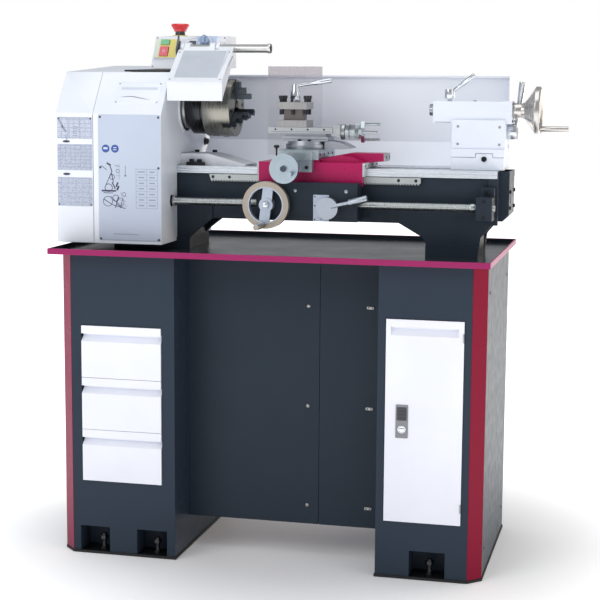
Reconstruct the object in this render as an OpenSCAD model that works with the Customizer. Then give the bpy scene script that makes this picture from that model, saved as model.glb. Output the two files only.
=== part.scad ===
// Bench lathe on a two-pedestal cabinet stand.
// Millimetres, +Z up, standing on Z = 0.  +X runs from the headstock to the
// tailstock, +Y from the operator to the splash guard.

/* [Lathe] */
// Height of the spindle axis above the ground ways (half the swing over bed)
centre_h = 125; // [125:1:132]
// Width of the bed across both ways
bed_w = 135; // [128:1:140]
// Outer diameter of the three-jaw chuck
chuck_d = 125; // [100:1:125]
// Through bore of the spindle
spindle_bore = 21; // [16:0.5:26]
// Diameter of the tailstock quill
quill_d = 25; // [20:1:30]
// Diameter of the carriage handwheel
handwheel_d = 100; // [80:1:110]

/* [Stand] */
// Height of the pedestals
stand_h = 661.5; // [655:0.5:662]
// Length of the chip tray along X
tray_l = 940; // [936:2:960]
// Width of the chip tray along Y
tray_w = 514; // [500:2:520]
// Sheet thickness of the pedestals
sheet = 2; // [1.5:0.1:2.5]
// Radius of the floor anchor holes
anchor_r = 7; // [5:0.5:8]

/* [Hidden] */
$fn = 48;
zw = 845;                 // top of the ground ways
za = zw + centre_h;       // spindle axis
hb = bed_w / 2;
tz = 664;                 // tray floor, top side

// Stand
pfy = -216.5;  pby = 215;            // pedestal front and back
lx0 = -461; lx1 = -201;              // left pedestal
rx0 = 238;  rx1 = 458.5;             // right pedestal
ch = 27;                             // corner chamfer
dz = [392.5, 278.5, 164.5];          // drawer bottoms, top to bottom
dh = 113;                            // drawer front height
dx0 = -411; dx1 = -230;
ax_l = [-374, -250];                 // anchor bolts, left pedestal
ax_r = 350;                          // anchor bolt, right pedestal
ay = 188;                            // anchor bolts, distance from the centre line

// Drive
spy = 0;
lsy = -105; lsz = 770;               // leadscrew
moy = 128;  moz = 780;               // motor
gm = 2;                              // gear module
z1 = 40; z2 = 80; z3 = 60;
d12 = gm * (z1 + z2) / 2;
d23 = gm * (z2 + z3) / 2;
gD = sqrt(pow(lsy, 2) + pow(za - lsz, 2));
ga = (d12 * d12 - d23 * d23 + gD * gD) / (2 * gD);
gh = sqrt(d12 * d12 - ga * ga);
ux = lsy / gD;  uz = (lsz - za) / gD;
iy = ux * ga - uz * gh;              // idler axis
iz = za + uz * ga + ux * gh;
al = atan2(iz - za, iy);             // spindle to idler
be = atan2(lsz - iz, lsy - iy);      // idler to leadscrew
th1 = al;
th2 = al + 180 - 180 / z2;
fr = (be - th2) / (360 / z2) - floor((be - th2) / (360 / z2));
th3 = be + 180 + fr * (360 / z3) - 180 / z3;

// Guard hood and control box
gy = -46; gz = 1098;                 // hood pivot
fa = atan2(72, 40);                  // slope of the control panel

module place() { translate([-60, 0, 0]) children(); }
// cylinder along X from x0, length l, on the axis (y, z)
module xcyl(x0, y, z, r, l) { translate([x0, y, z]) rotate([0, 90, 0]) cylinder(r = r, h = l); }
// cylinder along Y from y0, length l
module ycyl(x, y0, z, r, l) { translate([x, y0, z]) rotate([-90, 0, 0]) cylinder(r = r, h = l); }
module zcyl(x, y, z0, r, l) { translate([x, y, z0]) cylinder(r = r, h = l); }
// box between two corners
module bx(x0, x1, y0, y1, z0, z1) { translate([x0, y0, z0]) cube([x1 - x0, y1 - y0, z1 - z0]); }
// polygon in the YZ plane, extruded along X from x0 to x1
module yzx(x0, x1, pts) { translate([x0, 0, 0]) rotate([90, 0, 90]) linear_extrude(height = x1 - x0) polygon(pts); }
// polygon in the XZ plane, extruded along Y from y0 to y1
module xzy(y0, y1, pts) { translate([0, y1, 0]) rotate([90, 0, 0]) linear_extrude(height = y1 - y0) polygon(pts); }

// ---------------------------------------------------------------- stand
function ped(x0, x1, cl, cr, t) = concat(
  cl ? [[x0 + t, pfy + ch + t * 0.41], [x0 + ch + t * 0.41, pfy + t]] : [[x0 + t, pfy + t]],
  cr ? [[x1 - ch - t * 0.41, pfy + t], [x1 - t, pfy + ch + t * 0.41]] : [[x1 - t, pfy + t]],
  [[x1 - t, pby - t], [x0 + t, pby - t]]);
// cabinet shell with a closed floor and roof
module cabinet(x0, x1, cl, cr) {
  difference() {
    linear_extrude(height = stand_h) polygon(ped(x0, x1, cl, cr, 0));
    translate([0, 0, 5]) linear_extrude(height = stand_h - 7) polygon(ped(x0, x1, cl, cr, sheet));
  }
}
module niche_box(x0, x1) { bx(x0 - sheet, x1 + sheet, pfy + 0.5, pfy + 58, 4, 61 + sheet); bx(x0 - sheet, x1 + sheet, pby - 58, pby - 0.5, 4, 61 + sheet); }
module niche_void(x0, x1) { bx(x0, x1, pfy - 1, pfy + 56, 5, 61); bx(x0, x1, pby - 56, pby + 1, 5, 61); }
module left_pedestal() color([0.2, 0.25, 0.3]) place() difference() {
  union() {
    cabinet(lx0, lx1, true, false);
    niche_box(-418, -351); niche_box(-288, -220);
    for (z = dz) {
      bx(dx0 - 6, dx0 + 1.6, pfy + 1, pby - 1, z + 40, z + 52);
      bx(dx1 - 1.6, dx1 + 6, pfy + 1, pby - 1, z + 40, z + 52);
    }
  }
  niche_void(-418, -351); niche_void(-288, -220);
  bx(dx0, dx1, pfy - 1, pfy + 22, 163.5, 506.5);
  for (x = ax_l, s = [-1, 1]) zcyl(x, s * ay, -1, anchor_r, 8);
}
module right_pedestal() color([0.2, 0.25, 0.3]) place() difference() {
  union() {
    cabinet(rx0, rx1, false, true);
    niche_box(310, 385);
    bx(rx0 + 1, rx1 - 1, -190, pby - 1, 330, 332);
  }
  niche_void(310, 385);
  bx(254.5, 417, pfy - 1, pfy + 4, 122, 549);
  for (s = [-1, 1]) zcyl(ax_r, s * ay, -1, anchor_r, 8);
}
module corner_trims() color([0.66, 0.1, 0.33]) place() translate([0, 0, 7]) linear_extrude(height = stand_h - 9) {
  polygon([[lx0, pfy + ch], [lx0 + ch, pfy], [lx0 + ch - 0.7, pfy - 0.7], [lx0 - 0.7, pfy + ch - 0.7]]);
  polygon([[rx1 - ch, pfy], [rx1, pfy + ch], [rx1 + 0.7, pfy + ch - 0.7], [rx1 - ch + 0.7, pfy - 0.7]]);
}
module folded_panel(x0, x1) {
  difference() {
    bx(x0, x1, -116, -98, 73, 660.8);
    bx(x0 + sheet, x1 - sheet, -114, -90, 75, 658.8);
  }
}
module centre_panel() color([0.19, 0.24, 0.28]) place() folded_panel(lx1, 92.9);
module access_panel() color([0.19, 0.24, 0.28]) place() folded_panel(93.7, rx0);
module drawer(i) {
  z = dz[i];
  x0 = dx0 + 0.7; x1 = dx1 - 0.7;
  difference() {
    union() {
      bx(x0, x1, -219.5, -199, z, z + dh);
      difference() {
        bx(dx0 + 2.4, dx1 - 2.4, -201, 190, z + 6, z + 90);
        bx(dx0 + 4.4, dx1 - 4.4, -199, 188, z + 8, z + 91);
      }
    }
    // full-width finger grip under the top edge
    yzx(x0 - 1, x1 + 1, [[-225, z + dh - 17], [-208, z + dh - 17], [-206, z + dh - 22], [-219.5, z + dh - 34], [-225, z + dh - 34]]);
    bx(x0 + 2, x1 - 2, -204, -190, z + 8, z + dh - 40);
    bx(dx0 - 1, dx0 + 2.3, -212, 191, z + 39, z + 53);
    bx(dx1 - 2.3, dx1 + 1, -212, 191, z + 39, z + 53);
  }
}
module drawer_top() color("white") place() drawer(0);
module drawer_middle() color("white") place() drawer(1);
module drawer_bottom() color("white") place() drawer(2);
module cabinet_door() color("white") place() difference() {
  bx(255.5, 416, -219, -203, 123, 548);
  bx(257.5, 414, -217, -202, 125, 513);
  yzx(265, 405, [[-225, 533], [-209, 533], [-207, 528], [-219, 515], [-225, 515]]);
  ycyl(291, -230, 319.5, 6.05, 40);
}
module door_lock() color("gray") place() {
  ycyl(291, -221, 319.5, 6, 26);
  bx(286, 296, -225, -220, 317.5, 321.5);
  bx(262, 297, -199, -196.5, 314, 325);
}
module anchor_bolt(x, y) {
  zcyl(x, y, 0.5, 5, 38);
  translate([x, y, 5]) cylinder(r = 9, h = 5, $fn = 6);
  translate([x, y, 27]) cylinder(r = 9, h = 8, $fn = 6);
}
module anchor_bolts() color("dimgray") place()
  for (s = [-1, 1]) { for (x = ax_l) anchor_bolt(x, s * ay); anchor_bolt(ax_r, s * ay); }
module chip_tray() color([0.6, 0.12, 0.35]) place() {
  tx = tray_l / 2; ty = tray_w / 2;
  difference() {
    bx(-tx, tx, -ty, ty, stand_h, stand_h + 12.5);
    bx(-tx + 3, tx - 3, -ty + 3, ty - 3, tz, 700);
  }
}

// ---------------------------------------------------------------- bed
module foot(pts) { for (s = [0, 1]) mirror([0, s, 0]) xzy(-66, -46, pts); }
module bed() color([0.2, 0.24, 0.29]) place() difference() {
  union() {
    // two ground ways and their webs
    for (s = [0, 1]) mirror([0, s, 0]) {
      bx(-392, 460, -hb, -22, 829, zw);
      bx(-392, 460, -hb + 5.5, -hb + 19.5, 731, 830);
    }
    for (x = [-392, -250, -110, 30, 170, 300]) bx(x, x + 14, -hb + 10, hb - 10, 735, 832);
    difference() {
      bx(440, 460, -hb, hb, 745, 840);
      bx(430, 470, -24, 24, 800, 850);
    }
    // feet
    foot([[250, 732], [303, 702], [310, 690], [310, 668], [421, 668], [426, 705], [460, 746], [460, 770], [250, 770]]);
    foot([[-162, 732], [-206, 698], [-212, 690], [-212, 668], [-388, 668], [-392, 705], [-392, 770], [-162, 770]]);
    bx(310, 421, -72, 72, tz, 686);
    bx(-388, -212, -72, 72, tz, 686);
    bx(410, 421, -50, 50, 680, 740);
    // end bracket behind the front way
    difference() {
      xzy(-38, hb, [[459, 738], [459, 843], [481, 843], [481, 752], [468, 738]]);
      bx(455, 478, -34, hb - 4, 800, 850);
    }
    bx(310, 321, -50, 50, 680, 735);
    bx(-388, -377, -50, 50, 680, 735);
    bx(-223, -212, -50, 50, 680, 735);
  }
  bx(335, 400, -45, 45, tz - 1, 690);
  bx(-365, -235, -45, 45, tz - 1, 690);
}
// rack with plain trapezoid teeth on its underside
module rack() color("silver") place() difference() {
  xzy(-74, -hb + 5.5, concat([[298, 828], [-167, 828]],
    [for (i = [0 : 72]) for (p = [[0, 816], [1.2, 812.6], [3.4, 812.6], [4.6, 816]]) [-163 + 6.3 * i + p[0], p[1]]],
    [[298, 816]]));
  for (x = [-158, -121, 251, 288]) ycyl(x, -76, 822, 2.6, 4);
}
module leadscrew() color("silver") place() {
  xcyl(-460, lsy, lsz, 8, 877);
  xcyl(-238, lsy, lsz, 11, 6);
  xcyl(408, lsy, lsz, 9.5, 9);
  xcyl(417, lsy, lsz, 7, 42);
}
module leadscrew_bracket() color([0.2, 0.24, 0.29]) place() difference() {
  union() {
    bx(421, 455, -123, -hb, 744, 793);
    bx(426, 455, -82, -hb, 792, 812);
  }
  xcyl(400, lsy, lsz, 7.05, 80);
}

// ---------------------------------------------------------------- headstock
hs = [[-60, zw], [-60, 885], [-45, 905], [-45, za + 45], [45, za + 45], [45, 905], [60, 885], [60, zw]];
module headstock() color([0.86, 0.87, 0.88]) place() difference() {
  union() {
    yzx(-388, -252, hs);
    // toe under the chuck, sloping down to the ways
    xzy(-40, 58, [[-253, zw], [-253, 870], [-178, 870], [-95, 848], [-95, zw]]);
  }
  bx(-372, -274, -36, 36, 866, 950);
  xcyl(-400, 0, za, 30, 200);
  xcyl(-388.5, 0, za, 38, 20.5);
  xcyl(-272, 0, za, 38, 22);
  xcyl(-389, iy, iz, 4.05, 15);
}
// housing cross-section in YZ, inset by t
function hp(t) = [[-176 + t, 680 + t], [-176 + t, 957 - t * 0.45], [-112 + t * 0.4, 1046 - t],
  [190 - t, 1064 - t], [190 - t, 680 + t]];
module headstock_housing() color([0.92, 0.93, 0.95]) place() difference() {
  yzx(-395, -242, hp(0));
  yzx(-396, -244.5, hp(2.5));
  // bed, feet and headstock toe pass through
  bx(-392.5, -230, -hb - 0.5, hb + 0.5, 600, 845.5);
  bx(-392.5, -230, -40.5, 58.5, 600, 870.5);
  bx(-392.5, -230, -72.5, 72.5, 600, 687);
  xcyl(-250, 0, za, 50, 20);
  xcyl(-250, lsy, lsz, 13, 20);
}
module gear_cover() color([0.92, 0.93, 0.95]) place() difference() {
  yzx(-480, -395.6, hp(0));
  yzx(-477.5, -390, hp(2.5));
}
module spindle() color("silver") place() difference() {
  union() {
    xcyl(-462, 0, za, 20, 227);
    xcyl(-249.5, 0, za, 36, 4);
    xcyl(-245.6, 0, za, 46, 13.6);
  }
  xcyl(-470, 0, za, spindle_bore / 2, 240);
}
module bearing(x0) { difference() { xcyl(x0, 0, za, 38, 18); xcyl(x0 - 1, 0, za, 20.05, 20); } }
module spindle_bearings() color("gray") place() { bearing(-386); bearing(-270); }
module pulley(x0, y, z, r, rb) {
  difference() {
    union() { xcyl(x0, y, z, r + 4, 3); xcyl(x0 + 3, y, z, r, 15); xcyl(x0 + 18, y, z, r + 4, 3); }
    xcyl(x0 - 1, y, z, rb, 30);
  }
}
module spindle_pulley() color("silver") place() pulley(-430, 0, za, 52, 20);
// spur gear in the YZ plane with plain trapezoid teeth
module gear(x0, y, z, n, th, rb) {
  r = gm * n / 2; p = 360 / n;
  translate([x0, y, z]) rotate([90, 0, 90]) linear_extrude(height = 12) difference() {
    polygon([for (i = [0 : n - 1]) for (q = [[-0.29, r - 1.9], [-0.13, r + 1.1], [0.13, r + 1.1], [0.29, r - 1.9]])
      [q[1] * cos(th + (i + q[0]) * p), q[1] * sin(th + (i + q[0]) * p)]]);
    circle(r = rb);
  }
}
module spindle_gear() color("silver") place() gear(-456, 0, za, z1, th1, 20);
module idler_gear() color("silver") place() {
  gear(-456, iy, iz, z2, th2, 12);
  xcyl(-458, iy, iz, 12, 16);
  xcyl(-443, iy, iz, 4, 66);
}
module leadscrew_gear() color("silver") place() gear(-456, lsy, lsz, z3, th3, 8);
module drive_motor() color([0.25, 0.27, 0.3]) place() difference() {
  union() {
    xcyl(-380, moy, moz, 58, 118);
    xcyl(-388, moy, moz, 50, 9);
    xcyl(-262, moy, moz, 52, 12);
    bx(-370, -270, 66, moy, 735, 765);
  }
  xcyl(-420, moy, moz, 9.05, 50);
}
module motor_pulley() color("silver") place() {
  pulley(-430, moy, moz, 28, 0.01);
  xcyl(-440, moy, moz, 9, 68);
}
// flat loop round both pulleys, built from arcs and their outer tangents
bl = sqrt(moy * moy + pow(za - moz, 2));
ba = atan2(moz - za, moy);
bc = acos((52 - 28) / bl);
function bloop(e) = [for (i = [0 : 24]) let (a = ba + bc + i * (360 - 2 * bc) / 24) [(52 + e) * cos(a), za + (52 + e) * sin(a)],
  for (i = [0 : 16]) let (a = ba - bc + i * 2 * bc / 16) [moy + (28 + e) * cos(a), moz + (28 + e) * sin(a)]];
module drive_belt() color("black") place() difference() {
  yzx(-426, -413, bloop(5.5));
  yzx(-427, -412, bloop(0.9));
}

// ---------------------------------------------------------------- chuck
cr = chuck_d / 2;
jaw_a = [98, 218, 338];
module chuck_body() color([0.6, 0.62, 0.64]) place() difference() {
  union() {
    xcyl(-232, 0, za, 48, 12);
    xcyl(-221, 0, za, cr - 5, 27);
    xcyl(-195, 0, za, cr - 9, 8);
    xcyl(-188, 0, za, cr, 62);
  }
  xcyl(-240, 0, za, 16, 130);
  for (a = jaw_a) translate([-144, 0, za]) rotate([a - 90, 0, 0]) bx(0, 30, -6, 6, 8, 80);
  for (a = jaw_a) translate([-150, 0, za]) rotate([a - 90 + 60, 0, 0]) bx(-5, 5, -5, 5, cr - 14, 80);
}
module jaw(i) {
  translate([-126, 0, za]) rotate([jaw_a[i] - 90, 0, 0]) {
    bx(-17.5, 0.5, -5.6, 5.6, 20, 58);
    bx(0.5, 34, -5.6, 5.6, 20, 31);
    bx(0.5, 22, -7.5, 7.5, 31, 44);
    bx(0.5, 11, -7.5, 7.5, 44, 57);
  }
}
module chuck_jaw_1() color("dimgray") place() jaw(0);
module chuck_jaw_2() color("dimgray") place() jaw(1);
module chuck_jaw_3() color("dimgray") place() jaw(2);

// ---------------------------------------------------------------- controls
bp = [[-52, 1054], [-12, 1126], [60, 1126], [60, 1060], [50, 1060], [50, 1052], [-40, 1052], [-40, 1054]];
module on_panel(x, u, n) { translate([x, -52, 1054]) rotate([fa, 0, 0]) translate([0, u, n]) children(); }
module control_box() color([0.9, 0.91, 0.93]) place() difference() {
  union() {
    yzx(-308, -144, [[-52, 1054], [-12, 1126], [60, 1126], [60, 1058], [-52, 1054]]);
    yzx(-300, -246, [[-44, 1050.2], [-44, 1056], [50, 1060], [50, 1055.7]]);
    on_panel(-304, 24, 0) cube([54, 48, 5]);
    on_panel(-192, 66, 0) cylinder(r = 15, h = 2);
    for (x = [-236, -156]) hull() { xcyl(x, gy, gz, 14, 8); bx(x, x + 8, -24, -20, gz - 14, gz + 16); }
  }
  yzx(-305.5, -146.5, [[-47, 1057], [-10, 1123.5], [57.5, 1123.5], [57.5, 1061]]);
  xcyl(-250, gy, gz, 9.05, 150);
  on_panel(-291, 56.5, -8) cube([20, 13, 20]);
  on_panel(-291, 28, -8) cube([20, 24, 20]);
  zcyl(-261, 16, 1115, 11.05, 20);
  on_panel(-192, 66, -8) cylinder(r = 5.05, h = 20);
}
module start_button() color("green") place() on_panel(-290.5, 57, -2) cube([19, 12, 11]);
module stop_button() color("red") place() on_panel(-290.5, 28.5, -2) cube([19, 23, 11]);
// cover flap of the switch, hinged on the right edge of its surround
module switch_flap() color([0.3, 0.3, 0.32]) place() on_panel(-247.5, 26, 8) {
  rotate([0, -75, 0]) translate([1.2, 0, 0]) cube([30, 38, 3]);
  translate([0, 19, 0]) rotate([90, 0, 0]) translate([0, 0, -19]) cylinder(r = 2.4, h = 38);
}
module emergency_stop() color("red") place() {
  zcyl(-261, 16, 1117, 11, 20);
  zcyl(-261, 16, 1137, 14, 5);
  translate([-261, 16, 1141]) cylinder(r1 = 15, r2 = 20.5, h = 9);
  translate([-261, 16, 1150]) cylinder(r1 = 20.5, r2 = 18, h = 3.5);
}
module direction_switch() color([0.8, 0.85, 0.95]) place() on_panel(-192, 66, 0) {
  translate([0, 0, 2.4]) cylinder(r = 11, h = 10);
  translate([0, 0, -6]) cylinder(r = 5, h = 10);
  translate([-2.5, -10, 12]) cube([5, 20, 5]);
}
// hood: sloping frame, deep front lip and tapering side walls
ha = atan2(gz + 2 - 1022, gy - 6 + 147);
module chuck_guard() color([0.93, 0.94, 0.95]) place() difference() {
  union() {
    translate([-238, -147, 1022]) rotate([ha, 0, 0]) difference() {
      cube([122, 120, 5]);
      translate([13, 14, -1]) cube([96, 92, 10]);
    }
    bx(-238, -116, -147, -144, 986, 1024);
    for (x = [-238, -119]) yzx(x, x + 3, [[-147, 986], [-147, 1024], [-60, 1082], [-58, 1076]]);
    for (x = [-227, -170]) translate([0, 0, 0]) hull() { xcyl(x, gy, gz, 13, 12); translate([x, -147, 1022]) rotate([ha, 0, 0]) translate([0, 106.2, 0]) cube([12, 12, 5]); }
  }
  xcyl(-250, gy, gz, 9, 150);
  // room for the arms of the control box
  xcyl(-240, gy, gz, 20, 12.6);
  xcyl(-156.6, gy, gz, 20, 9.2);
}
module guard_window() color([0.8, 0.84, 0.86, 0.6]) place() translate([-238, -147, 1022]) rotate([ha, 0, 0]) translate([13, 14, 0.8]) cube([96, 92, 3]);
module guard_pivot() color("silver") place() {
  difference() { xcyl(-236, gy, gz, 9, 194); xcyl(-246, gy, gz, 6, 200); }
  xcyl(-42, gy, gz, 10.5, 6);
}
module splash_guard() color([0.95, 0.96, 0.97]) place() {
  yzx(-234, 460, [[140, 1043.7], [150, 1043.7], [150, 896], [92, 846], [hb + 1.7, 846], [hb + 1.7, 818], [hb, 818],
    [hb, 847.7], [91.3, 847.7], [148.3, 896.8], [148.3, 1042], [140, 1042]]);
  bx(458, 460, 126, 149, 894, 1043);
}

// ---------------------------------------------------------------- carriage
module saddle() color([0.69, 0.05, 0.36]) place() difference() {
  union() {
    bx(-50, 176, -92, -hb - 0.4, 817, 858);
    bx(-50, 176, -hb - 1, 66, zw + 0.3, 858);
    bx(-8, 82, -88, 66, 857, 863);
    xzy(-40, 14, [[82.5, 857], [82.5, 866], [140, 877], [212, 877], [212, 860], [176, 857]]);
    xzy(-74, -40, [[82.5, 857], [82.5, 864], [120, 872], [150, 868], [176, 857]]);
    bx(-50, 176, -84.5, -hb - 0.4, 808.6, 818);
    // feed-screw bracket on the operator side
    bx(-4, 72, -112, -92, 838, 863);
  }
  ycyl(28, -130, 848, 6.05, 120);
  bx(-60, 190, -76, -60, 800, 829.5);
}
module apron() color([0.17, 0.2, 0.24]) place() difference() {
  union() { bx(-45, 174, -130, -84.5, 736, 808.3); bx(-45, 174, -130, -92.3, 736, 817); }
  xcyl(-60, lsy, lsz, 11, 260);
  ycyl(-18, -140, 769.5, 6.05, 22);
  ycyl(113, -140, 765, 6.05, 22);
}
module carriage_handwheel() color("silver") place() translate([-18, -150, 769.5]) rotate([90, 0, 0]) {
  hr = handwheel_d / 2;
  translate([0, 0, -7]) difference() { cylinder(r = hr, h = 14); translate([0, 0, -1]) cylinder(r = hr - 14, h = 16); }
  translate([0, 0, -30]) cylinder(r = 6, h = 30);
  translate([0, 0, -18]) cylinder(r = 15, h = 22);
  translate([0, 0, 4]) cylinder(r = 8, h = 7, $fn = 6);
  for (a = [-97, 83]) rotate([0, 0, a]) translate([8, -11, -5]) cube([hr - 17, 22, 7]);
  rotate([0, 0, -97]) translate([hr - 7, 0, 6]) { cylinder(r = 4, h = 12); translate([0, 0, 8]) cylinder(r = 6, h = 50); }
}
module half_nut_lever() color("silver") place() {
  ycyl(113, -138, 765, 6, 20);
  ycyl(113, -150, 765, 23, 19);
  translate([113, -150, 765]) rotate([0, -14, 0]) rotate([12, 0, 0]) { translate([10, 4, 0]) rotate([0, 90, 0]) cylinder(r = 5, h = 42); translate([48, 4, 0]) rotate([0, 90, 0]) cylinder(r = 7.5, h = 40); }
}
module cross_slide() color("silver") place() {
  bx(-8, 82, -96, 66, 863.3, 884);
  bx(-4, 72, -112, -96, 863.3, 880);
}
module cross_slide_handwheel() color([0.7, 0.74, 0.77]) place() {
  ycyl(28, -186, 848, 6, 110);
  ycyl(28, -184, 848, 31, 12);
  ycyl(28, -172, 848, 20, 22);
  ycyl(28, -150, 848, 14.8, 37.6);
  ycyl(28, -189, 848, 7, 6);
  ycyl(46, -206, 838, 4.5, 24);
}
// swivel base of the top slide, turning about (37, 0)
module compound_base() color([0.62, 0.64, 0.66]) place() {
  zcyl(37, 0, 884.3, 49, 9.5);
  zcyl(37, 0, 893, 44, 8);
  bx(-13, 88, -36, 36, 900.5, 911);
  bx(-8, 82.5, -26, 26, 910, 917);
  xzy(-30, 30, [[80, 899], [90, 902], [114, 899], [138, 888], [138, 886], [118, 884.5], [80, 884.5]]);
}
module top_slide() color("silver") place() difference() {
  union() {
    bx(-44, 98, -36, 36, 917.3, 930);
    bx(98, 114, -32, 32, 911.5, 936);
    zcyl(7.5, 0, 929, 8, 4);
    zcyl(7.5, 0, 930, 7.95, 74);
    xcyl(112, 0, 921, 17, 8);
  }
  xcyl(90, 0, 921, 6.05, 40);
}
module top_slide_crank() color("silver") place() {
  xcyl(104, 0, 921, 6, 30);
  xcyl(121, 0, 921, 15, 7);
  xcyl(128, 0, 921, 16, 24);
  xcyl(152, 0, 921, 9, 10);
  for (a = [60, 180, 300]) translate([0, 0, 921]) rotate([a, 0, 0]) { bx(153, 161, 0, 24, -4.5, 4.5); xcyl(160, 19, 0, 3.2, 34); }
}
module toolpost() color([0.68, 0.67, 0.66]) place() difference() {
  union() {
    bx(-25, 40, -32.5, 32.5, 930.3, 945);
    bx(-13, 28, -20.5, 20.5, 944, 970);
    bx(-25, 40, -32.5, 32.5, 969, 984);
    for (x = [-20, 35], y = [-22, 0, 22]) { zcyl(x, y, 957, 2.7, 34); bx(x - 3.4, x + 3.4, y - 3.4, y + 3.4, 991, 998); }
    for (y = [-27.5, 27.5]) { zcyl(7.5, y, 957, 2.7, 34); bx(4.1, 10.9, y - 3.4, y + 3.4, 991, 998); }
  }
  zcyl(7.5, 0, 920, 8, 100);
  zcyl(7.5, 0, 928, 13, 5.5);
}
module toolpost_lever() color("silver") place() difference() {
  union() {
    zcyl(7.5, 0, 984.3, 11, 24);
    zcyl(7.5, 0, 1008, 8, 14);
    translate([7.5, 0, 1019]) rotate([0, 90 - 9, 8]) { cylinder(r = 4.2, h = 46); translate([0, 0, 42]) cylinder(r = 5.8, h = 38); }
  }
  zcyl(7.5, 0, 980, 8.03, 24.5);
}
module chip_shield() color([0.85, 0.85, 0.87]) place() {
  bx(-72, 52, 66, 68, 866, 1062);
}

// ---------------------------------------------------------------- tailstock
module tailstock_base() color([0.93, 0.94, 0.95]) place() difference() {
  union() { bx(356, 468, -36, 60, zw + 0.3, 872); bx(408, 444, -36, 50, 871, 880); bx(400, 430, -20, 20, 820, 846); }
  bx(380, 440, -10, 10, 840, 842);
}
module tailstock_body() color([0.93, 0.94, 0.95]) place() difference() {
  union() {
    bx(356, 468, -36, 50, 872, 889);
    bx(356, 468, -30, 30, 888, 950);
    bx(314, 466, -23, 23, 943, 989);
    bx(466, 481, -24, 24, 942, 990);
    xcyl(466, 22, 925, 8, 2);
  }
  bx(407.7, 444.3, -40, 60, 860, 880.3);
  xcyl(300, 0, za, quill_d / 2 + 0.05, 160);
  xcyl(455, 0, za, 8.05, 40);
  xcyl(458, 22, 925, 6.05, 20);
  zcyl(346, 0, 983, 5.05, 10);
}
module quill() color("silver") place() difference() {
  xcyl(304, 0, za, quill_d / 2, 86);
  xcyl(300, 0, za, 8.9, 60);
  xcyl(350, 0, za, 6, 60);
}
module tailstock_handwheel() color("silver") place() {
  xcyl(396, 0, za, 5.6, 65);
  xcyl(460, 0, za, 8, 42);
  xcyl(481.3, 0, za, 16, 17);
  translate([498, 0, za]) rotate([0, 90, 0]) rotate_extrude() polygon([[6, 0], [15, 0], [18, 8], [34, 20], [45, 27], [51, 31], [51, 39], [47, 42], [43, 39], [40, 33], [28, 27], [12, 18], [6, 18]]);
  translate([0, -24, za - 37]) { xcyl(532, 0, 0, 4, 14); xcyl(542, 0, 0, 5.8, 57); }
}
module quill_lock_lever() color("silver") place() {
  zcyl(346, 0, 984.5, 5, 12);
  zcyl(346, 0, 995, 10.5, 19);
  translate([350, 0, 1008]) rotate([0, 53, 0]) { cylinder(r = 4, h = 34); translate([0, 0, 28]) cylinder(r = 5.2, h = 32); }
}
module tailstock_clamp_lever() color("silver") place() {
  xcyl(460, 22, 925, 6, 12);
  xcyl(468.5, 22, 925, 17, 20);
  translate([484, 27, 930]) rotate([0, 7.5, 0]) { cylinder(r = 4, h = 60); translate([0, 0, 55]) cylinder(r1 = 5.5, r2 = 7.5, h = 46); }
}

left_pedestal();
right_pedestal();
corner_trims();
centre_panel();
access_panel();
drawer_top();
drawer_middle();
drawer_bottom();
cabinet_door();
door_lock();
anchor_bolts();
chip_tray();
bed();
rack();
leadscrew();
leadscrew_bracket();
headstock();
headstock_housing();
gear_cover();
spindle();
spindle_bearings();
spindle_pulley();
spindle_gear();
idler_gear();
leadscrew_gear();
drive_motor();
motor_pulley();
drive_belt();
chuck_body();
chuck_jaw_1();
chuck_jaw_2();
chuck_jaw_3();
control_box();
start_button();
stop_button();
switch_flap();
emergency_stop();
direction_switch();
chuck_guard();
guard_window();
guard_pivot();
splash_guard();
saddle();
apron();
carriage_handwheel();
half_nut_lever();
cross_slide();
cross_slide_handwheel();
compound_base();
top_slide();
top_slide_crank();
toolpost();
toolpost_lever();
chip_shield();
tailstock_base();
tailstock_body();
quill();
tailstock_handwheel();
quill_lock_lever();
tailstock_clamp_lever();
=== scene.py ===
import math
import random

import bmesh
import bpy
from mathutils import Matrix, Vector


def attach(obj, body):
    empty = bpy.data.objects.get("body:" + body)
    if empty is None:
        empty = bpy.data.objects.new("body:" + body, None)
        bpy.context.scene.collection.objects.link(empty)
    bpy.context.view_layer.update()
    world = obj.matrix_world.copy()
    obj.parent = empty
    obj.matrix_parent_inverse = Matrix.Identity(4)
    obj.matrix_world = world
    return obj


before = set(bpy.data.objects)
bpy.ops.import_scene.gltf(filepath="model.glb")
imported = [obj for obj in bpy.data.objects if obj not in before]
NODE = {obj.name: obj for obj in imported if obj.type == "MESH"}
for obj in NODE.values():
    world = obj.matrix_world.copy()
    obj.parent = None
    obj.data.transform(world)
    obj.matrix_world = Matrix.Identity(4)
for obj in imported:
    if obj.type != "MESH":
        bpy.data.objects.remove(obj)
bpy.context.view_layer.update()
S = 0.001
OX = -60.0


def V(x, y, z):
    """A design point in millimetres, in the row frame in metres."""
    return Vector(((x + OX) * S, y * S, z * S))


# ------------------------------------------------------------------ materials
def srgb(r, g, b):
    def f(c):
        c /= 255.0
        return c / 12.92 if c <= 0.04045 else ((c + 0.055) / 1.055) ** 2.4

    return (f(r), f(g), f(b), 1.0)


def shade(c, k):
    return (min(c[0] * k, 1), min(c[1] * k, 1), min(c[2] * k, 1), 1.0)


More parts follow.
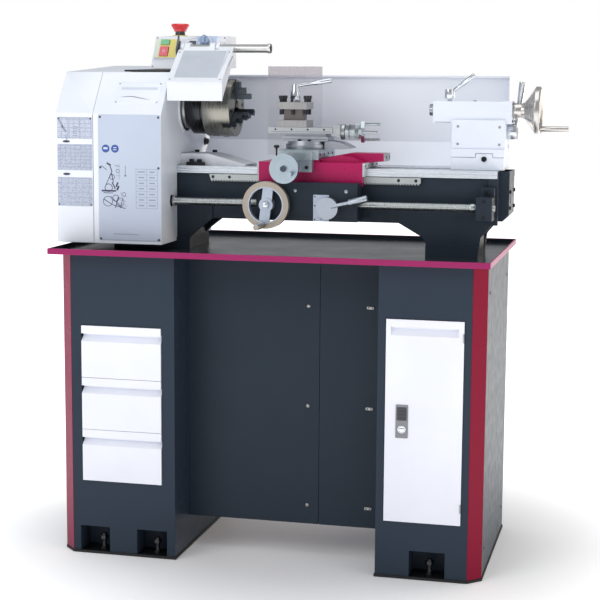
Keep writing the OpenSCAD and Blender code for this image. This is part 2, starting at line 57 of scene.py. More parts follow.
class Mat:
    """A procedural material: colour variation, roughness variation and bump in object space."""

    def __init__(self, name, metal=0.0, **sockets):
        self.m = bpy.data.materials.new(name)
        self.m.use_nodes = True
        self.t = self.m.node_tree
        self.t.nodes.clear()
        self.out = self.t.nodes.new("ShaderNodeOutputMaterial")
        self.b = self.t.nodes.new("ShaderNodeBsdfPrincipled")
        self.t.links.new(self.b.outputs[0], self.out.inputs[0])
        self.b.inputs["Metallic"].default_value = metal
        for k, v in sockets.items():
            self.b.inputs[k.replace("_", " ")].default_value = v
        self.tc = self.t.nodes.new("ShaderNodeTexCoord")
        self.xyz = self.t.nodes.new("ShaderNodeSeparateXYZ")
        self.t.links.new(self.tc.outputs["Object"], self.xyz.inputs[0])

    def n(self, kind, **k):
        node = self.t.nodes.new(kind)
        for a, v in k.items():
            setattr(node, a, v)
        return node

    def link(self, a, b):
        self.t.links.new(a, b)

    def math(self, op, a, b=None, c=None):
        node = self.n("ShaderNodeMath", operation=op)
        for i, v in enumerate((a, b, c)):
            if v is None:
                continue
            if isinstance(v, (int, float)):
                node.inputs[i].default_value = v
            else:
                self.link(v, node.inputs[i])
        return node.outputs[0]

    def noise(self, scale, detail=3.0, stretch=None, rough=0.55, vec=None, dist=0.0):
        tex = self.n("ShaderNodeTexNoise")
        tex.inputs["Scale"].default_value = scale
        tex.inputs["Detail"].default_value = detail
        tex.inputs["Roughness"].default_value = rough
        tex.inputs["Distortion"].default_value = dist
        src = vec if vec is not None else self.tc.outputs["Object"]
        if stretch:
            mp = self.n("ShaderNodeMapping")
            mp.inputs["Scale"].default_value = stretch
            self.link(src, mp.inputs[0])
            src = mp.outputs[0]
        self.link(src, tex.inputs[0])
        return tex.outputs["Fac"]

    def ramp(self, fac, stops):
        r = self.n("ShaderNodeValToRGB")
        e = r.color_ramp.elements
        while len(e) < len(stops):
            e.new(0.5)
        for el, (p, c) in zip(e, stops):
            el.position = p
            el.color = c
        self.link(fac, r.inputs[0])
        return r.outputs[0]

    def mix(self, fac, a, b):
        m = self.n("ShaderNodeMix", data_type="RGBA")
        if isinstance(fac, (int, float)):
            m.inputs[0].default_value = fac
        else:
            self.link(fac, m.inputs[0])
        for i, v in ((6, a), (7, b)):
            if isinstance(v, tuple):
                m.inputs[i].default_value = v
            else:
                self.link(v, m.inputs[i])
        return m.outputs[2]

    def span(self, fac, lo, hi):
        r = self.n("ShaderNodeMapRange")
        self.link(fac, r.inputs["Value"])
        r.inputs["From Min"].default_value = 0.3
        r.inputs["From Max"].default_value = 0.7
        r.inputs["To Min"].default_value = lo
        r.inputs["To Max"].default_value = hi
        return r.outputs[0]

    def color(self, v):
        if isinstance(v, tuple):
            self.b.inputs["Base Color"].default_value = v
        else:
            self.link(v, self.b.inputs["Base Color"])

    def rough(self, v):
        if isinstance(v, (int, float)):
            self.b.inputs["Roughness"].default_value = v
        else:
            self.link(v, self.b.inputs["Roughness"])

    def bump(self, fac, strength=0.2, dist=0.0005, prev=None):
        bp = self.n("ShaderNodeBump")
        bp.inputs["Strength"].default_value = strength
        bp.inputs["Distance"].default_value = dist
        self.link(fac, bp.inputs["Height"])
        if prev is not None:
            self.link(prev, bp.inputs["Normal"])
        self.link(bp.outputs[0], self.b.inputs["Normal"])
        return bp.outputs[0]

    def above(self, socket, value):
        return self.math("GREATER_THAN", socket, value)


def varied(m, c, amount=0.05, scale=6.0):
    return m.mix(m.span(m.noise(scale, 4.0), 0.0, 1.0), shade(c, 1 - amount), shade(c, 1 + amount))


def paint(name, c, rough=0.38, amount=0.035, peel=0.10, scale=5.0, grime=0.0, **sockets):
    """Powder-coated sheet metal: slight orange peel, faint mottling and dust."""
    m = Mat(name, **sockets)
    base = varied(m, c, amount, scale)
    if grime:
        spots = m.ramp(m.noise(26.0, 8.0, rough=0.75), [(0.55, (0, 0, 0, 1)), (0.78, (1, 1, 1, 1))])
        base = m.mix(m.math("MULTIPLY", spots, grime), base, shade(c, 0.55))
    m.color(base)
    m.rough(m.span(m.noise(40.0, 5.0), rough - 0.05, rough + 0.07))
    m.bump(m.noise(1100.0, 2.0), peel, 0.0002)
    return m


def casting(name, c, rough=0.45, **sockets):
    """Painted cast iron: a coarse skin under thick paint."""
    m = Mat(name, **sockets)
    m.color(varied(m, c, 0.09, 14.0))
    m.rough(m.span(m.noise(60.0, 5.0), rough - 0.08, rough + 0.1))
    p = m.bump(m.noise(160.0, 5.0), 0.22, 0.0006)
    m.bump(m.noise(900.0, 2.0), 0.12, 0.0002, p)
    return m


def ground(name, c, rough=0.26, stretch=(14, 700, 700), amount=0.12, grad=None):
    """Ground or milled steel with fine grain along one axis."""
    m = Mat(name, metal=1.0)
    g = m.noise(1.0, 4.0, stretch=stretch, rough=0.6)
    cloud = m.noise(18.0, 4.0)
    base = m.mix(m.span(g, 0, 1), shade(c, 1 - amount), shade(c, 1 + amount))
    base = m.mix(m.math("MULTIPLY", m.span(cloud, 0, 1), 0.35), base, shade(c, 0.72))
    m.color(base)
    m.rough(m.span(g, rough - 0.06, rough + 0.12))
    m.bump(g, 0.12, 0.0003)
    return m


def turned(name, c, axis, centre, rough=0.28, amount=0.12, pitch=900.0):
    """Lathe-turned metal: fine rings about an axis, which runs through centre (row frame, metres)."""
    m = Mat(name, metal=1.0)
    x, y, z = m.xyz.outputs
    o = {"X": (x, y, z, 1, 2), "Y": (y, x, z, 0, 2), "Z": (z, x, y, 0, 1)}[axis]
    a = m.math("SUBTRACT", o[1], centre[o[3]])
    b = m.math("SUBTRACT", o[2], centre[o[4]])
    r = m.math("SQRT", m.math("ADD", m.math("MULTIPLY", a, a), m.math("MULTIPLY", b, b)))
    comb = m.n("ShaderNodeCombineXYZ")
    m.link(m.math("MULTIPLY", o[0], pitch), comb.inputs[0])
    m.link(m.math("MULTIPLY", r, pitch), comb.inputs[1])
    m.link(m.math("MULTIPLY", m.math("ARCTAN2", a, b), 0.6), comb.inputs[2])
    g = m.noise(1.0, 3.0, vec=comb.outputs[0])
    cloud = m.noise(22.0, 4.0)
    base = m.mix(m.span(g, 0, 1), shade(c, 1 - amount), shade(c, 1 + amount))
    base = m.mix(m.math("MULTIPLY", m.span(cloud, 0, 1), 0.3), base, shade(c, 0.7))
    m.color(base)
    m.rough(m.span(g, rough - 0.06, rough + 0.1))
    m.bump(g, 0.15, 0.0003)
    return m


def plastic(name, c, rough=0.4, grain=0.15, **sockets):
    m = Mat(name, **sockets)
    m.color(varied(m, c, 0.04, 30.0))
    m.rough(m.span(m.noise(120.0, 3.0), rough - 0.05, rough + 0.06))
    m.bump(m.noise(1600.0, 2.0), grain, 0.0002)
    return m


ANTHRACITE = srgb(46, 57, 70)
DARKPANEL = srgb(42, 52, 63)
BLACK = srgb(24, 25, 28)
STEEL = srgb(200, 204, 208)

M = {}
M["front_white"] = paint("front_white", srgb(236, 238, 247), 0.36).m
M["housing_white"] = paint("housing_white", srgb(234, 238, 247), 0.34).m
M["hood_white"] = paint("hood_white", srgb(233, 236, 243), 0.33).m
M["splash_white"] = paint("splash_white", srgb(234, 238, 246), 0.42, scale=2.5).m
M["tail_white"] = paint("tail_white", srgb(226, 231, 242), 0.37, peel=0.16, scale=9.0).m
M["head_white"] = casting("head_white", srgb(222, 224, 230), 0.42).m
M["label_grey"] = paint("label_grey", srgb(188, 197, 215), 0.33, peel=0.03, scale=3.0).m
M["panel_dark"] = paint("panel_dark", DARKPANEL, 0.40, 0.06, grime=0.10, Specular_IOR_Level=0.14).m
M["apron_paint"] = casting("apron_paint", srgb(36, 45, 56), 0.40, Specular_IOR_Level=0.2).m
M["trim_left"] = paint("trim_paint", srgb(150, 20, 66), 0.34, scale=3.0).m
M["lock_grey"] = plastic("lock_grey", srgb(132, 134, 138), 0.38).m
M["lock_dark"] = plastic("lock_dark", srgb(66, 68, 72), 0.45).m
M["black_plastic"] = plastic("black_plastic", srgb(26, 27, 30), 0.42).m
M["black_oxide"] = ground("black_oxide", srgb(52, 54, 58), 0.42, (300, 300, 300)).m
M["rubber"] = plastic("rubber", srgb(28, 28, 30), 0.7, 0.4).m
M["belt_rubber"] = plastic("belt_rubber", srgb(20, 20, 21), 0.75, 0.4).m
M["zinc"] = ground("zinc", srgb(168, 168, 166), 0.34, (300, 300, 300)).m
M["dark_zinc"] = ground("dark_zinc", srgb(84, 84, 86), 0.4, (300, 300, 300)).m
M["steel_x"] = ground("steel_x", srgb(205, 208, 212), 0.24).m
M["steel_y"] = ground("steel_y", srgb(205, 208, 212), 0.24, (700, 14, 700)).m
M["steel_dull"] = ground("steel_dull", srgb(186, 190, 192), 0.33, (30, 500, 500)).m
M["rack_steel"] = ground("rack_steel", srgb(178, 182, 182), 0.38, (40, 500, 500)).m
M["cross_steel"] = ground("cross_steel", srgb(176, 186, 192), 0.32, (700, 20, 700)).m
M["swivel_steel"] = ground("swivel_steel", srgb(170, 174, 182), 0.34, (60, 60, 500)).m
M["machined"] = ground("machined", srgb(160, 162, 164), 0.3, (300, 300, 300)).m
M["motor_paint"] = paint("motor_paint", srgb(70, 76, 84), 0.4).m
M["green"] = plastic("green", srgb(126, 196, 150), 0.3, 0.05, Coat_Weight=0.4).m
M["red"] = plastic("red", srgb(226, 108, 118), 0.3, 0.05, Coat_Weight=0.4).m
M["yellow"] = plastic("yellow", srgb(226, 214, 128), 0.36, 0.06).m
M["pale_yellow"] = plastic("pale_yellow", srgb(214, 222, 206), 0.36, 0.06).m
M["flap_grey"] = plastic("flap_grey", srgb(72, 78, 92), 0.36).m
M["panel_blue"] = plastic("panel_blue", srgb(186, 202, 228), 0.34, 0.05).m
M["knob_blue"] = plastic("knob_blue", srgb(146, 164, 192), 0.34).m
M["disc_blue"] = plastic("disc_blue", srgb(52, 84, 158), 0.35, 0.03).m
M["ink"] = plastic("ink", srgb(58, 64, 84), 0.5, 0.02).m
M["ink_soft"] = plastic("ink_soft", srgb(140, 148, 170), 0.5, 0.02).m
M["ink_pale"] = plastic("ink_pale", srgb(206, 212, 226), 0.5, 0.02).m
M["seam"] = plastic("seam", srgb(96, 102, 116), 0.6, 0.1).m
M["grip_metal"] = ground("grip_metal", srgb(206, 208, 210), 0.25, (300, 300, 300)).m
M["chrome"] = ground("chrome", srgb(214, 218, 224), 0.17, (120, 120, 120), 0.05).m
M["felt"] = plastic("felt", srgb(196, 200, 204), 0.8, 0.5).m
M["pivot_steel"] = ground("pivot_steel", srgb(214, 214, 212), 0.28, (10, 600, 600), 0.06).m
M["jaw_steel"] = ground("jaw_steel", srgb(74, 80, 88), 0.34, (200, 200, 60), 0.2).m
M["bearing_steel"] = turned("bearing_steel", srgb(190, 192, 196), "X", (0, 0, 0.97), 0.2).m
M["spindle_steel"] = turned("spindle_steel", srgb(170, 172, 174), "X", (0, 0, 0.97), 0.28).m
M["quill_steel"] = turned("quill_steel", srgb(150, 154, 160), "X", (0, 0, 0.97), 0.24).m
M["screw_steel"] = turned("screw_steel", srgb(176, 180, 180), "X", (0, -0.105, 0.770), 0.3, 0.16).m
M["tail_wheel"] = turned("tail_wheel", srgb(206, 202, 198), "X", (0, 0, 0.97), 0.25, 0.08).m
M["carriage_wheel"] = turned("carriage_wheel", srgb(196, 192, 184), "Y", (-0.078, 0, 0.7695), 0.36, 0.07, 500.0).m
wm = turned("carriage_wheel_two", srgb(172, 162, 150), "Y", (-0.078, 0, 0.7695), 0.40, 0.07, 500.0)
wx = wm.math("SUBTRACT", wm.xyz.outputs[0], -0.078)
wz = wm.math("SUBTRACT", wm.xyz.outputs[2], 0.7695)
wr = wm.math("SQRT", wm.math("ADD", wm.math("MULTIPLY", wx, wx), wm.math("MULTIPLY", wz, wz)))
wsrc = wm.b.inputs["Base Color"].links[0].from_socket
wm.color(wm.mix(wm.math("LESS_THAN", wr, 0.0386), wsrc, srgb(178, 188, 202)))
wm.b.inputs["Metallic"].default_value = 0.7
M["carriage_wheel"] = wm.m
M["cross_wheel"] = turned("cross_wheel", srgb(176, 190, 200), "Y", (-0.032, 0, 0.848), 0.34, 0.07, 700.0).m
M["half_nut"] = turned("half_nut", srgb(176, 184, 194), "Y", (0.053, 0, 0.765), 0.38, 0.07, 700.0).m
M["top_crank"] = turned("top_crank", srgb(190, 198, 202), "X", (0, 0, 0.921), 0.26, 0.1, 900.0).m

# chuck body: turned steel with an oily tint, black back plate
m = turned("chuck_steel", srgb(150, 148, 140), "X", (0, 0, 0.97), 0.27, 0.14, 700.0)
src = m.b.inputs["Base Color"].links[0].from_socket
back = m.math("LESS_THAN", m.xyz.outputs[0], -0.2485)
m.color(m.mix(back, src, srgb(58, 60, 62)))
M["chuck_steel"] = m.m

# pedestals: dark powder coat, black kick edge at the floor
m = paint("stand_paint", ANTHRACITE, 0.37, 0.05, grime=0.10, Specular_IOR_Level=0.14)
src = m.b.inputs["Base Color"].links[0].from_socket
m.color(m.mix(m.math("LESS_THAN", m.xyz.outputs[2], 0.0064), src, BLACK))
M["stand_paint"] = m.m

# corner strips: crimson on the right, raspberry on the left
m = paint("trim_paint_two", srgb(136, 8, 46), 0.32, scale=3.0, Specular_IOR_Level=0.15)
src = m.b.inputs["Base Color"].links[0].from_socket
m.color(m.mix(m.above(m.xyz.outputs[0], 0.0), srgb(132, 20, 62), src))
M["trim_paint"] = m.m

# tray: raspberry rim and outside, dark glossy inside
m = paint("tray_paint", srgb(150, 30, 92), 0.3, 0.05, scale=3.0, Specular_IOR_Level=0.25)
src = m.b.inputs["Base Color"].links[0].from_socket
ax = m.math("ABSOLUTE", m.math("ADD", m.xyz.outputs[0], 0.060))
ay = m.math("ABSOLUTE", m.xyz.outputs[1])
inside = m.math(
    "MULTIPLY",
    m.math("MULTIPLY", m.math("LESS_THAN", ax, 0.46705), m.math("LESS_THAN", ay, 0.25405)),
    m.math("MULTIPLY", m.above(m.xyz.outputs[2], 0.6625), m.math("LESS_THAN", m.xyz.outputs[2], 0.67395)),
)
m.color(m.mix(inside, src, srgb(36, 43, 50)))
m.rough(m.math("SUBTRACT", m.span(m.noise(9.0, 4.0), 0.30, 0.38), m.math("MULTIPLY", inside, 0.12)))
M["tray_paint"] = m.m

# bed: painted casting below, ground steel ways on top
m = casting("bed_casting", srgb(38, 48, 60), 0.40, Specular_IOR_Level=0.2)
src = m.b.inputs["Base Color"].links[0].from_socket
rsrc = m.b.inputs["Roughness"].links[0].from_socket
way = m.math("MULTIPLY", m.above(m.xyz.outputs[2], 0.8293), m.math("LESS_THAN", m.xyz.outputs[0], 0.3985))
g = m.noise(1.0, 4.0, stretch=(10, 700, 700), rough=0.6)
steel = m.mix(m.span(g, 0, 1), srgb(196, 202, 210), srgb(226, 230, 236))
m.color(m.mix(way, src, steel))
m.link(m.math("MULTIPLY", way, 0.72), m.b.inputs["Metallic"])
rm = m.n("ShaderNodeMix", data_type="FLOAT")
m.link(way, rm.inputs[0])
m.link(rsrc, rm.inputs[2])
m.link(m.span(g, 0.2, 0.34), rm.inputs[3])
m.rough(rm.outputs[0])
M["bed_casting"] = m.m

# saddle: raspberry enamel, machined bracket at the front
m = casting("saddle_paint", srgb(172, 6, 84), 0.34, Specular_IOR_Level=0.25)
src = m.b.inputs["Base Color"].links[0].from_socket
br = m.math("LESS_THAN", m.xyz.outputs[1], -0.0922)
m.color(m.mix(br, src, srgb(150, 158, 166)))
m.link(m.math("MULTIPLY", br, 0.8), m.b.inputs["Metallic"])
m.b.inputs["Coat Weight"].default_value = 0.12
m.b.inputs["Coat Roughness"].default_value = 0.15
M["saddle_paint"] = m.m

# toolpost: machined body, black clamping screws, and painted shade on the core wall inside the tool slots
m = ground("toolpost_steel", srgb(172, 170, 170), 0.33, (500, 500, 30))
src = m.b.inputs["Base Color"].links[0].from_socket
x, y, z = m.xyz.outputs
off = m.math(
    "MAXIMUM",
    m.above(m.math("ABSOLUTE", m.math("SUBTRACT", x, -0.0525)), 0.0212),
    m.above(m.math("ABSOLUTE", y), 0.0212),
)
low = m.math("MULTIPLY", m.math("MULTIPLY", m.above(z, 0.9455), m.math("LESS_THAN", z, 0.9685)), off)
dark = m.math("MAXIMUM", m.above(z, 0.9843), low)
# painted shade: the core wall at the back of the tool slots is darkened
slot_core_shade = m.math("MULTIPLY", m.math("MULTIPLY", m.above(z, 0.9452), m.math("LESS_THAN", z, 0.9688)), m.math("SUBTRACT", 1.0, off))
slot_shaded_colour = m.mix(slot_core_shade, src, srgb(112, 104, 104))
m.color(m.mix(dark, slot_shaded_colour, srgb(58, 60, 64)))
M["toolpost_steel"] = m.m

# emergency stop: red mushroom on a black collar
m = plastic("estop", srgb(214, 36, 40), 0.3, 0.04, Coat_Weight=0.5)
src = m.b.inputs["Base Color"].links[0].from_socket
m.color(m.mix(m.math("LESS_THAN", m.xyz.outputs[2], 1.1368), src, srgb(40, 36, 40)))
M["estop"] = m.m

# hood window and clear chip shield
# the pale blue-grey base colour is partly the window's own tint and partly painted reflection of the bright sky
m = plastic("window", srgb(214, 221, 231), 0.16, 0.02)
m.b.inputs["Transmission Weight"].default_value = 0.25
m.b.inputs["IOR"].default_value = 1.49
M["window"] = m.m
m = plastic("shield", srgb(176, 166, 178), 0.12, 0.02)
al = m.n("ShaderNodeMapRange", interpolation_type="SMOOTHSTEP")
m.link(m.xyz.outputs[2], al.inputs["Value"])
al.inputs["From Min"].default_value = 1.036
al.inputs["From Max"].default_value = 1.044
al.inputs["To Min"].default_value = 0.10
al.inputs["To Max"].default_value = 0.46
m.link(al.outputs[0], m.b.inputs["Alpha"])
m.b.inputs["IOR"].default_value = 1.49
M["shield"] = m.m


# engraved charts on the gear cover: dense generic cells, no lettering
def chart(name, base, dark, sx, sz, amount):
    m = Mat(name)
    br = m.n("ShaderNodeTexBrick")
    br.offset = 0.0
    br.squash = 1.0
    mp = m.n("ShaderNodeMapping")
    mp.inputs["Rotation"].default_value = (math.radians(90), 0, 0)
    m.link(m.tc.outputs["Object"], mp.inputs[0])
    m.link(mp.outputs[0], br.inputs["Vector"])
    br.inputs["Scale"].default_value = 1.0
    br.inputs["Mortar Size"].default_value = 0.0004
    br.inputs["Mortar Smooth"].default_value = 0.4
    br.inputs["Brick Width"].default_value = sx
    br.inputs["Row Height"].default_value = sz
    br.inputs["Color1"].default_value = base
    br.inputs["Color2"].default_value = shade(base, 0.97)
    br.inputs["Mortar"].default_value = dark
    marks = m.ramp(m.noise(1.0, 3.0, stretch=(230, 40, 330), rough=0.7), [(0.50, (0, 0, 0, 1)), (0.60, (1, 1, 1, 1))])
    m.color(m.mix(m.math("MULTIPLY", marks, amount), br.outputs[0], dark))
    m.rough(m.span(m.noise(60.0), 0.34, 0.44))
    m.bump(m.noise(600.0), 0.05, 0.0001)
    return m.m


M["chart_a"] = chart("chart_a", srgb(198, 204, 220), srgb(136, 144, 168), 0.0135, 0.0090, 0.5)
M["chart_b"] = chart("chart_b", srgb(184, 191, 208), srgb(138, 146, 170), 0.0115, 0.0078, 0.75)
M["chart_c"] = chart("chart_c", srgb(186, 193, 210), srgb(140, 148, 172), 0.0160, 0.0105, 0.75)

NODE_MAT = {
    "left_pedestal": "stand_paint", "right_pedestal": "stand_paint", "corner_trims": "trim_paint",
    "centre_panel": "panel_dark", "access_panel": "panel_dark", "drawer_top": "front_white",
    "drawer_middle": "front_white", "drawer_bottom": "front_white", "cabinet_door": "front_white",
    "door_lock": "chrome", "anchor_bolts": "dark_zinc", "chip_tray": "tray_paint", "bed": "bed_casting",
    "rack": "rack_steel", "leadscrew": "screw_steel", "leadscrew_bracket": "apron_paint",
    "headstock": "head_white", "headstock_housing": "housing_white", "gear_cover": "housing_white",
    "spindle": "spindle_steel", "spindle_bearings": "bearing_steel", "spindle_pulley": "machined",
    "spindle_gear": "machined", "idler_gear": "machined", "leadscrew_gear": "machined",
    "drive_motor": "motor_paint", "motor_pulley": "machined", "drive_belt": "belt_rubber",
    "chuck_body": "chuck_steel", "chuck_jaw_1": "jaw_steel", "chuck_jaw_2": "jaw_steel",
    "chuck_jaw_3": "jaw_steel", "control_box": "hood_white", "start_button": "green",
    "stop_button": "red", "switch_flap": "flap_grey", "emergency_stop": "estop",
    "direction_switch": "knob_blue", "chuck_guard": "hood_white", "guard_window": "window",
    "guard_pivot": "pivot_steel", "splash_guard": "splash_white", "saddle": "saddle_paint",
    "apron": "apron_paint", "carriage_handwheel": "carriage_wheel", "half_nut_lever": "half_nut",
    "cross_slide": "cross_steel", "cross_slide_handwheel": "cross_wheel", "compound_base": "swivel_steel",
    "top_slide": "steel_dull", "top_slide_crank": "top_crank", "toolpost": "toolpost_steel",
    "toolpost_lever": "chrome", "chip_shield": "shield", "tailstock_base": "tail_white",
    "tailstock_body": "tail_white", "quill": "quill_steel", "tailstock_handwheel": "tail_wheel",
    "quill_lock_lever": "chrome", "tailstock_clamp_lever": "chrome",
}
BEVEL = {
    "left_pedestal": 1.0, "right_pedestal": 1.0, "centre_panel": 0.8, "access_panel": 0.8,
    "drawer_top": 1.2, "drawer_middle": 1.2, "drawer_bottom": 1.2, "cabinet_door": 0.0,
    "chip_tray": 0.9, "bed": 1.4, "headstock": 1.6, "headstock_housing": 1.0, "gear_cover": 1.0,
    "drive_motor": 1.0, "chuck_body": 0.7, "chuck_jaw_1": 0.4, "chuck_jaw_2": 0.4, "chuck_jaw_3": 0.4,
    "control_box": 0.9, "start_button": 0.8, "stop_button": 0.8, "switch_flap": 0.5, "emergency_stop": 0.6,
    "direction_switch": 0.6, "chuck_guard": 0.9, "guard_pivot": 0.4, "splash_guard": 0.4, "saddle": 1.2,
    "apron": 1.2, "carriage_handwheel": 1.3, "half_nut_lever": 0.7, "cross_slide": 0.7,
    "cross_slide_handwheel": 0.7, "compound_base": 0.8, "top_slide": 0.8, "top_slide_crank": 0.6,
    "toolpost": 0.5, "toolpost_lever": 0.6, "chip_shield": 0.4, "tailstock_base": 1.3,
    "tailstock_body": 2.2, "quill": 0.5, "tailstock_handwheel": 0.9, "quill_lock_lever": 0.6,
    "tailstock_clamp_lever": 0.6, "leadscrew_bracket": 1.2, "anchor_bolts": 0.5, "door_lock": 0.3,
    "spindle": 0.4, "leadscrew": 0.4, "rack": 0.3,
}


def smooth(o, width, seg=2):
    w = o.modifiers.new("weld", "WELD")
    w.merge_threshold = 0.00001
    if width:
        b = o.modifiers.new("bevel", "BEVEL")
        b.width = width * S
        b.segments = seg
        b.limit_method = "ANGLE"
        b.angle_limit = math.radians(32)
        b.use_clamp_overlap = True
        b.harden_normals = False
        b.miter_outer = "MITER_ARC"


for name, o in NODE.items():
    o.data.materials.clear()
    o.data.materials.append(M[NODE_MAT[name]])
    smooth(o, BEVEL.get(name, 0.0))


# ------------------------------------------------------------------ mesh tools
def finish_mesh(o, body, mat, bevel=0.0, seg=2, sharp=35):
    me = o.data
    bm = bmesh.new()
    bm.from_mesh(me)
    bmesh.ops.remove_doubles(bm, verts=bm.verts, dist=1e-7)
    bmesh.ops.recalc_face_normals(bm, faces=bm.faces)
    if bevel:
        edges = [e for e in bm.edges if len(e.link_faces) == 2 and e.calc_face_angle(0) > math.radians(sharp)]
        if edges:
            bmesh.ops.bevel(bm, geom=edges, offset=bevel * S, offset_type="OFFSET", segments=seg, profile=0.5,
                            affect="EDGES", clamp_overlap=True)
    for f in bm.faces:
        f.smooth = True
    for e in bm.edges:
        if len(e.link_faces) == 2 and e.calc_face_angle(0) > math.radians(sharp):
            e.smooth = False
    bm.to_mesh(me)
    bm.free()
    me.materials.clear()
    me.materials.append(M[mat])
    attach(o, body)
    return o


def new_object(name, verts, faces):
    me = bpy.data.meshes.new(name)
    me.from_pydata([tuple(v) for v in verts], [], faces)
    me.update()
    o = bpy.data.objects.new(name, me)
    bpy.context.scene.collection.objects.link(o)
    return o


def multi_box(name, boxes, body, mat, bevel=0.3, seg=2):
    """Several bevelled boxes as one piece; each is x0, x1, y0, y1, z0, z1 in design millimetres."""
    verts, faces = [], []
    for x0, x1, y0, y1, z0, z1 in boxes:
        n = len(verts)
        verts += [V(x, y, z) for z in (z0, z1) for y in (y0, y1) for x in (x0, x1)]
        faces += [[n + i for i in f] for f in ((0, 2, 3, 1), (4, 5, 7, 6), (0, 1, 5, 4), (2, 6, 7, 3), (0, 4, 6, 2), (1, 3, 7, 5))]
    return finish_mesh(new_object(name, verts, faces), body, mat, bevel, seg)


def frame_of(direction):
    d = Vector(direction).normalized()
    a = Vector((0, 0, 1)) if abs(d.z) < 0.9 else Vector((1, 0, 0))
    u = a.cross(d).normalized()
    return u, d.cross(u).normalized(), d


def lathe(name, items, body, mat, seg=32, bevel=0.0, sharp=35):
    """Revolved pieces: items are (origin in design mm, direction, profile [(r, h) ...] in mm)."""
    verts, faces = [], []
    for origin, direction, prof in items:
        u, v, d = frame_of(direction)
        o = V(*origin)
        n0 = len(verts)
        idx = []
        for r, h in prof:
            if r < 1e-6:
                idx.append([len(verts)] * seg)
                verts.append(o + d * h * S)
            else:
                idx.append(list(range(len(verts), len(verts) + seg)))
                for i in range(seg):
                    t = 2 * math.pi * i / seg
                    verts.append(o + (u * math.cos(t) + v * math.sin(t)) * r * S + d * h * S)
        closed = prof[0][0] > 1e-6 and prof[-1][0] > 1e-6
        pairs = list(zip(idx, idx[1:])) + ([(idx[-1], idx[0])] if closed else [])
        for a, b in pairs:
            for i in range(seg):
                j = (i + 1) % seg
                f = []
                for k in (a[i], a[j], b[j], b[i]):
                    if k not in f:
                        f.append(k)
                if len(f) > 2:
                    faces.append(f)
    return finish_mesh(new_object(name, verts, faces), body, mat, bevel, sharp=sharp)


def cap_screw(r, h, rec=None):
    """Profile of a socket cap screw head with a recess, rounded at the rim."""
    k = rec if rec is not None else r * 0.5
    return [(0, h * 0.35), (k, h * 0.35), (k, h * 0.93), (k * 1.08, h), (r * 0.86, h), (r, h * 0.82), (r, 0), (0, 0)]


def pan_screw(r, h):
    return [(0, h * 0.8), (r * 0.22, h * 0.82), (r * 0.26, h), (r * 0.6, h * 0.9), (r * 0.9, h * 0.55), (r, 0), (0, 0)]


def prism(name, pts, depth, body, mat, bevel=0.3, seg=2):
    """A closed polygon (row-frame points) pushed along a vector in metres."""
    n = len(pts)
    d = Vector(depth)
    verts = [Vector(p) for p in pts] + [Vector(p) + d for p in pts]
    faces = [list(range(n - 1, -1, -1)), list(range(n, 2 * n))] + [[i, (i + 1) % n, n + (i + 1) % n, n + i] for i in range(n)]
    return finish_mesh(new_object(name, verts, faces), body, mat, bevel, seg)


def plate(name, loops, origin, xd, yd, thick, body, mat, bevel=0.3):
    """A flat plate with holes: loops of (x, y) in mm about origin, along xd and yd; thick in mm along their cross product."""
    cu = bpy.data.curves.new(name, "CURVE")
    cu.dimensions = "2D"
    cu.fill_mode = "BOTH"
    cu.extrude = max(thick / 2 - bevel, 0.01) * S
    cu.bevel_depth = bevel * S
    cu.bevel_resolution = 1
    cu.offset = -bevel * S
    for lp in loops:
        sp = cu.splines.new("POLY")
        sp.points.add(len(lp) - 1)
        for p, (a, b) in zip(sp.points, lp):
            p.co = (a * S, b * S, 0, 1)
        sp.use_cyclic_u = True
    tmp = bpy.data.objects.new(name + "_curve", cu)
    bpy.context.scene.collection.objects.link(tmp)
    bpy.context.view_layer.update()
    me = bpy.data.meshes.new_from_object(tmp.evaluated_get(bpy.context.evaluated_depsgraph_get()))
    bpy.data.objects.remove(tmp)
    bpy.data.curves.remove(cu)
    X, Y = Vector(xd).normalized(), Vector(yd).normalized()
    Z = X.cross(Y)
    o = V(*origin) + Z * thick / 2 * S
    me.transform(Matrix(((X.x, Y.x, Z.x, o.x), (X.y, Y.y, Z.y, o.y), (X.z, Y.z, Z.z, o.z), (0, 0, 0, 1))))
    me.name = name
    ob = bpy.data.objects.new(name, me)
    bpy.context.scene.collection.objects.link(ob)
    return finish_mesh(ob, body, mat, 0.0)


def rect(x0, y0, x1, y1, r=0.0, n=4):
    if r <= 0:
        return [(x0, y0), (x1, y0), (x1, y1), (x0, y1)]
    out = []
    for cx, cy, a in ((x1 - r, y0 + r, -90), (x1 - r, y1 - r, 0), (x0 + r, y1 - r, 90), (x0 + r, y0 + r, 180)):
        for i in range(n + 1):
            t = math.radians(a + 90 * i / n)
            out.append((cx + r * math.cos(t), cy + r * math.sin(t)))
    return out


def circle(cx, cy, r, n=28):
    return [(cx + r * math.cos(2 * math.pi * i / n), cy + r * math.sin(2 * math.pi * i / n)) for i in range(n)]


def ticks(name, centre, direction, r, l, n, body, mat="ink", long_every=5, start=0.0, t0=0.5):
    """Graduations on a dial: thin raised strokes along its axis."""
    u, v, d = frame_of(direction)
    o = V(*centre)
    verts, faces = [], []
    for i in range(n):
        a = 2 * math.pi * i / n + start
        e = u * math.cos(a) + v * math.sin(a)
        t = d.cross(e)
        ln = l if i % long_every == 0 else l * 0.55
        n0 = len(verts)
        for h in (t0, t0 + ln):
            for s in (-1, 1):
                for rr in (r - 0.3, r + 0.06):
                    verts.append(o + e * rr * S + t * s * 0.16 * S + d * h * S)
        faces += [[n0 + k for k in f] for f in ((0, 1, 3, 2), (4, 6, 7, 5), (0, 4, 5, 1), (2, 3, 7, 6), (0, 2, 6, 4), (1, 5, 7, 3))]
    return finish_mesh(new_object(name, verts, faces), body, mat)


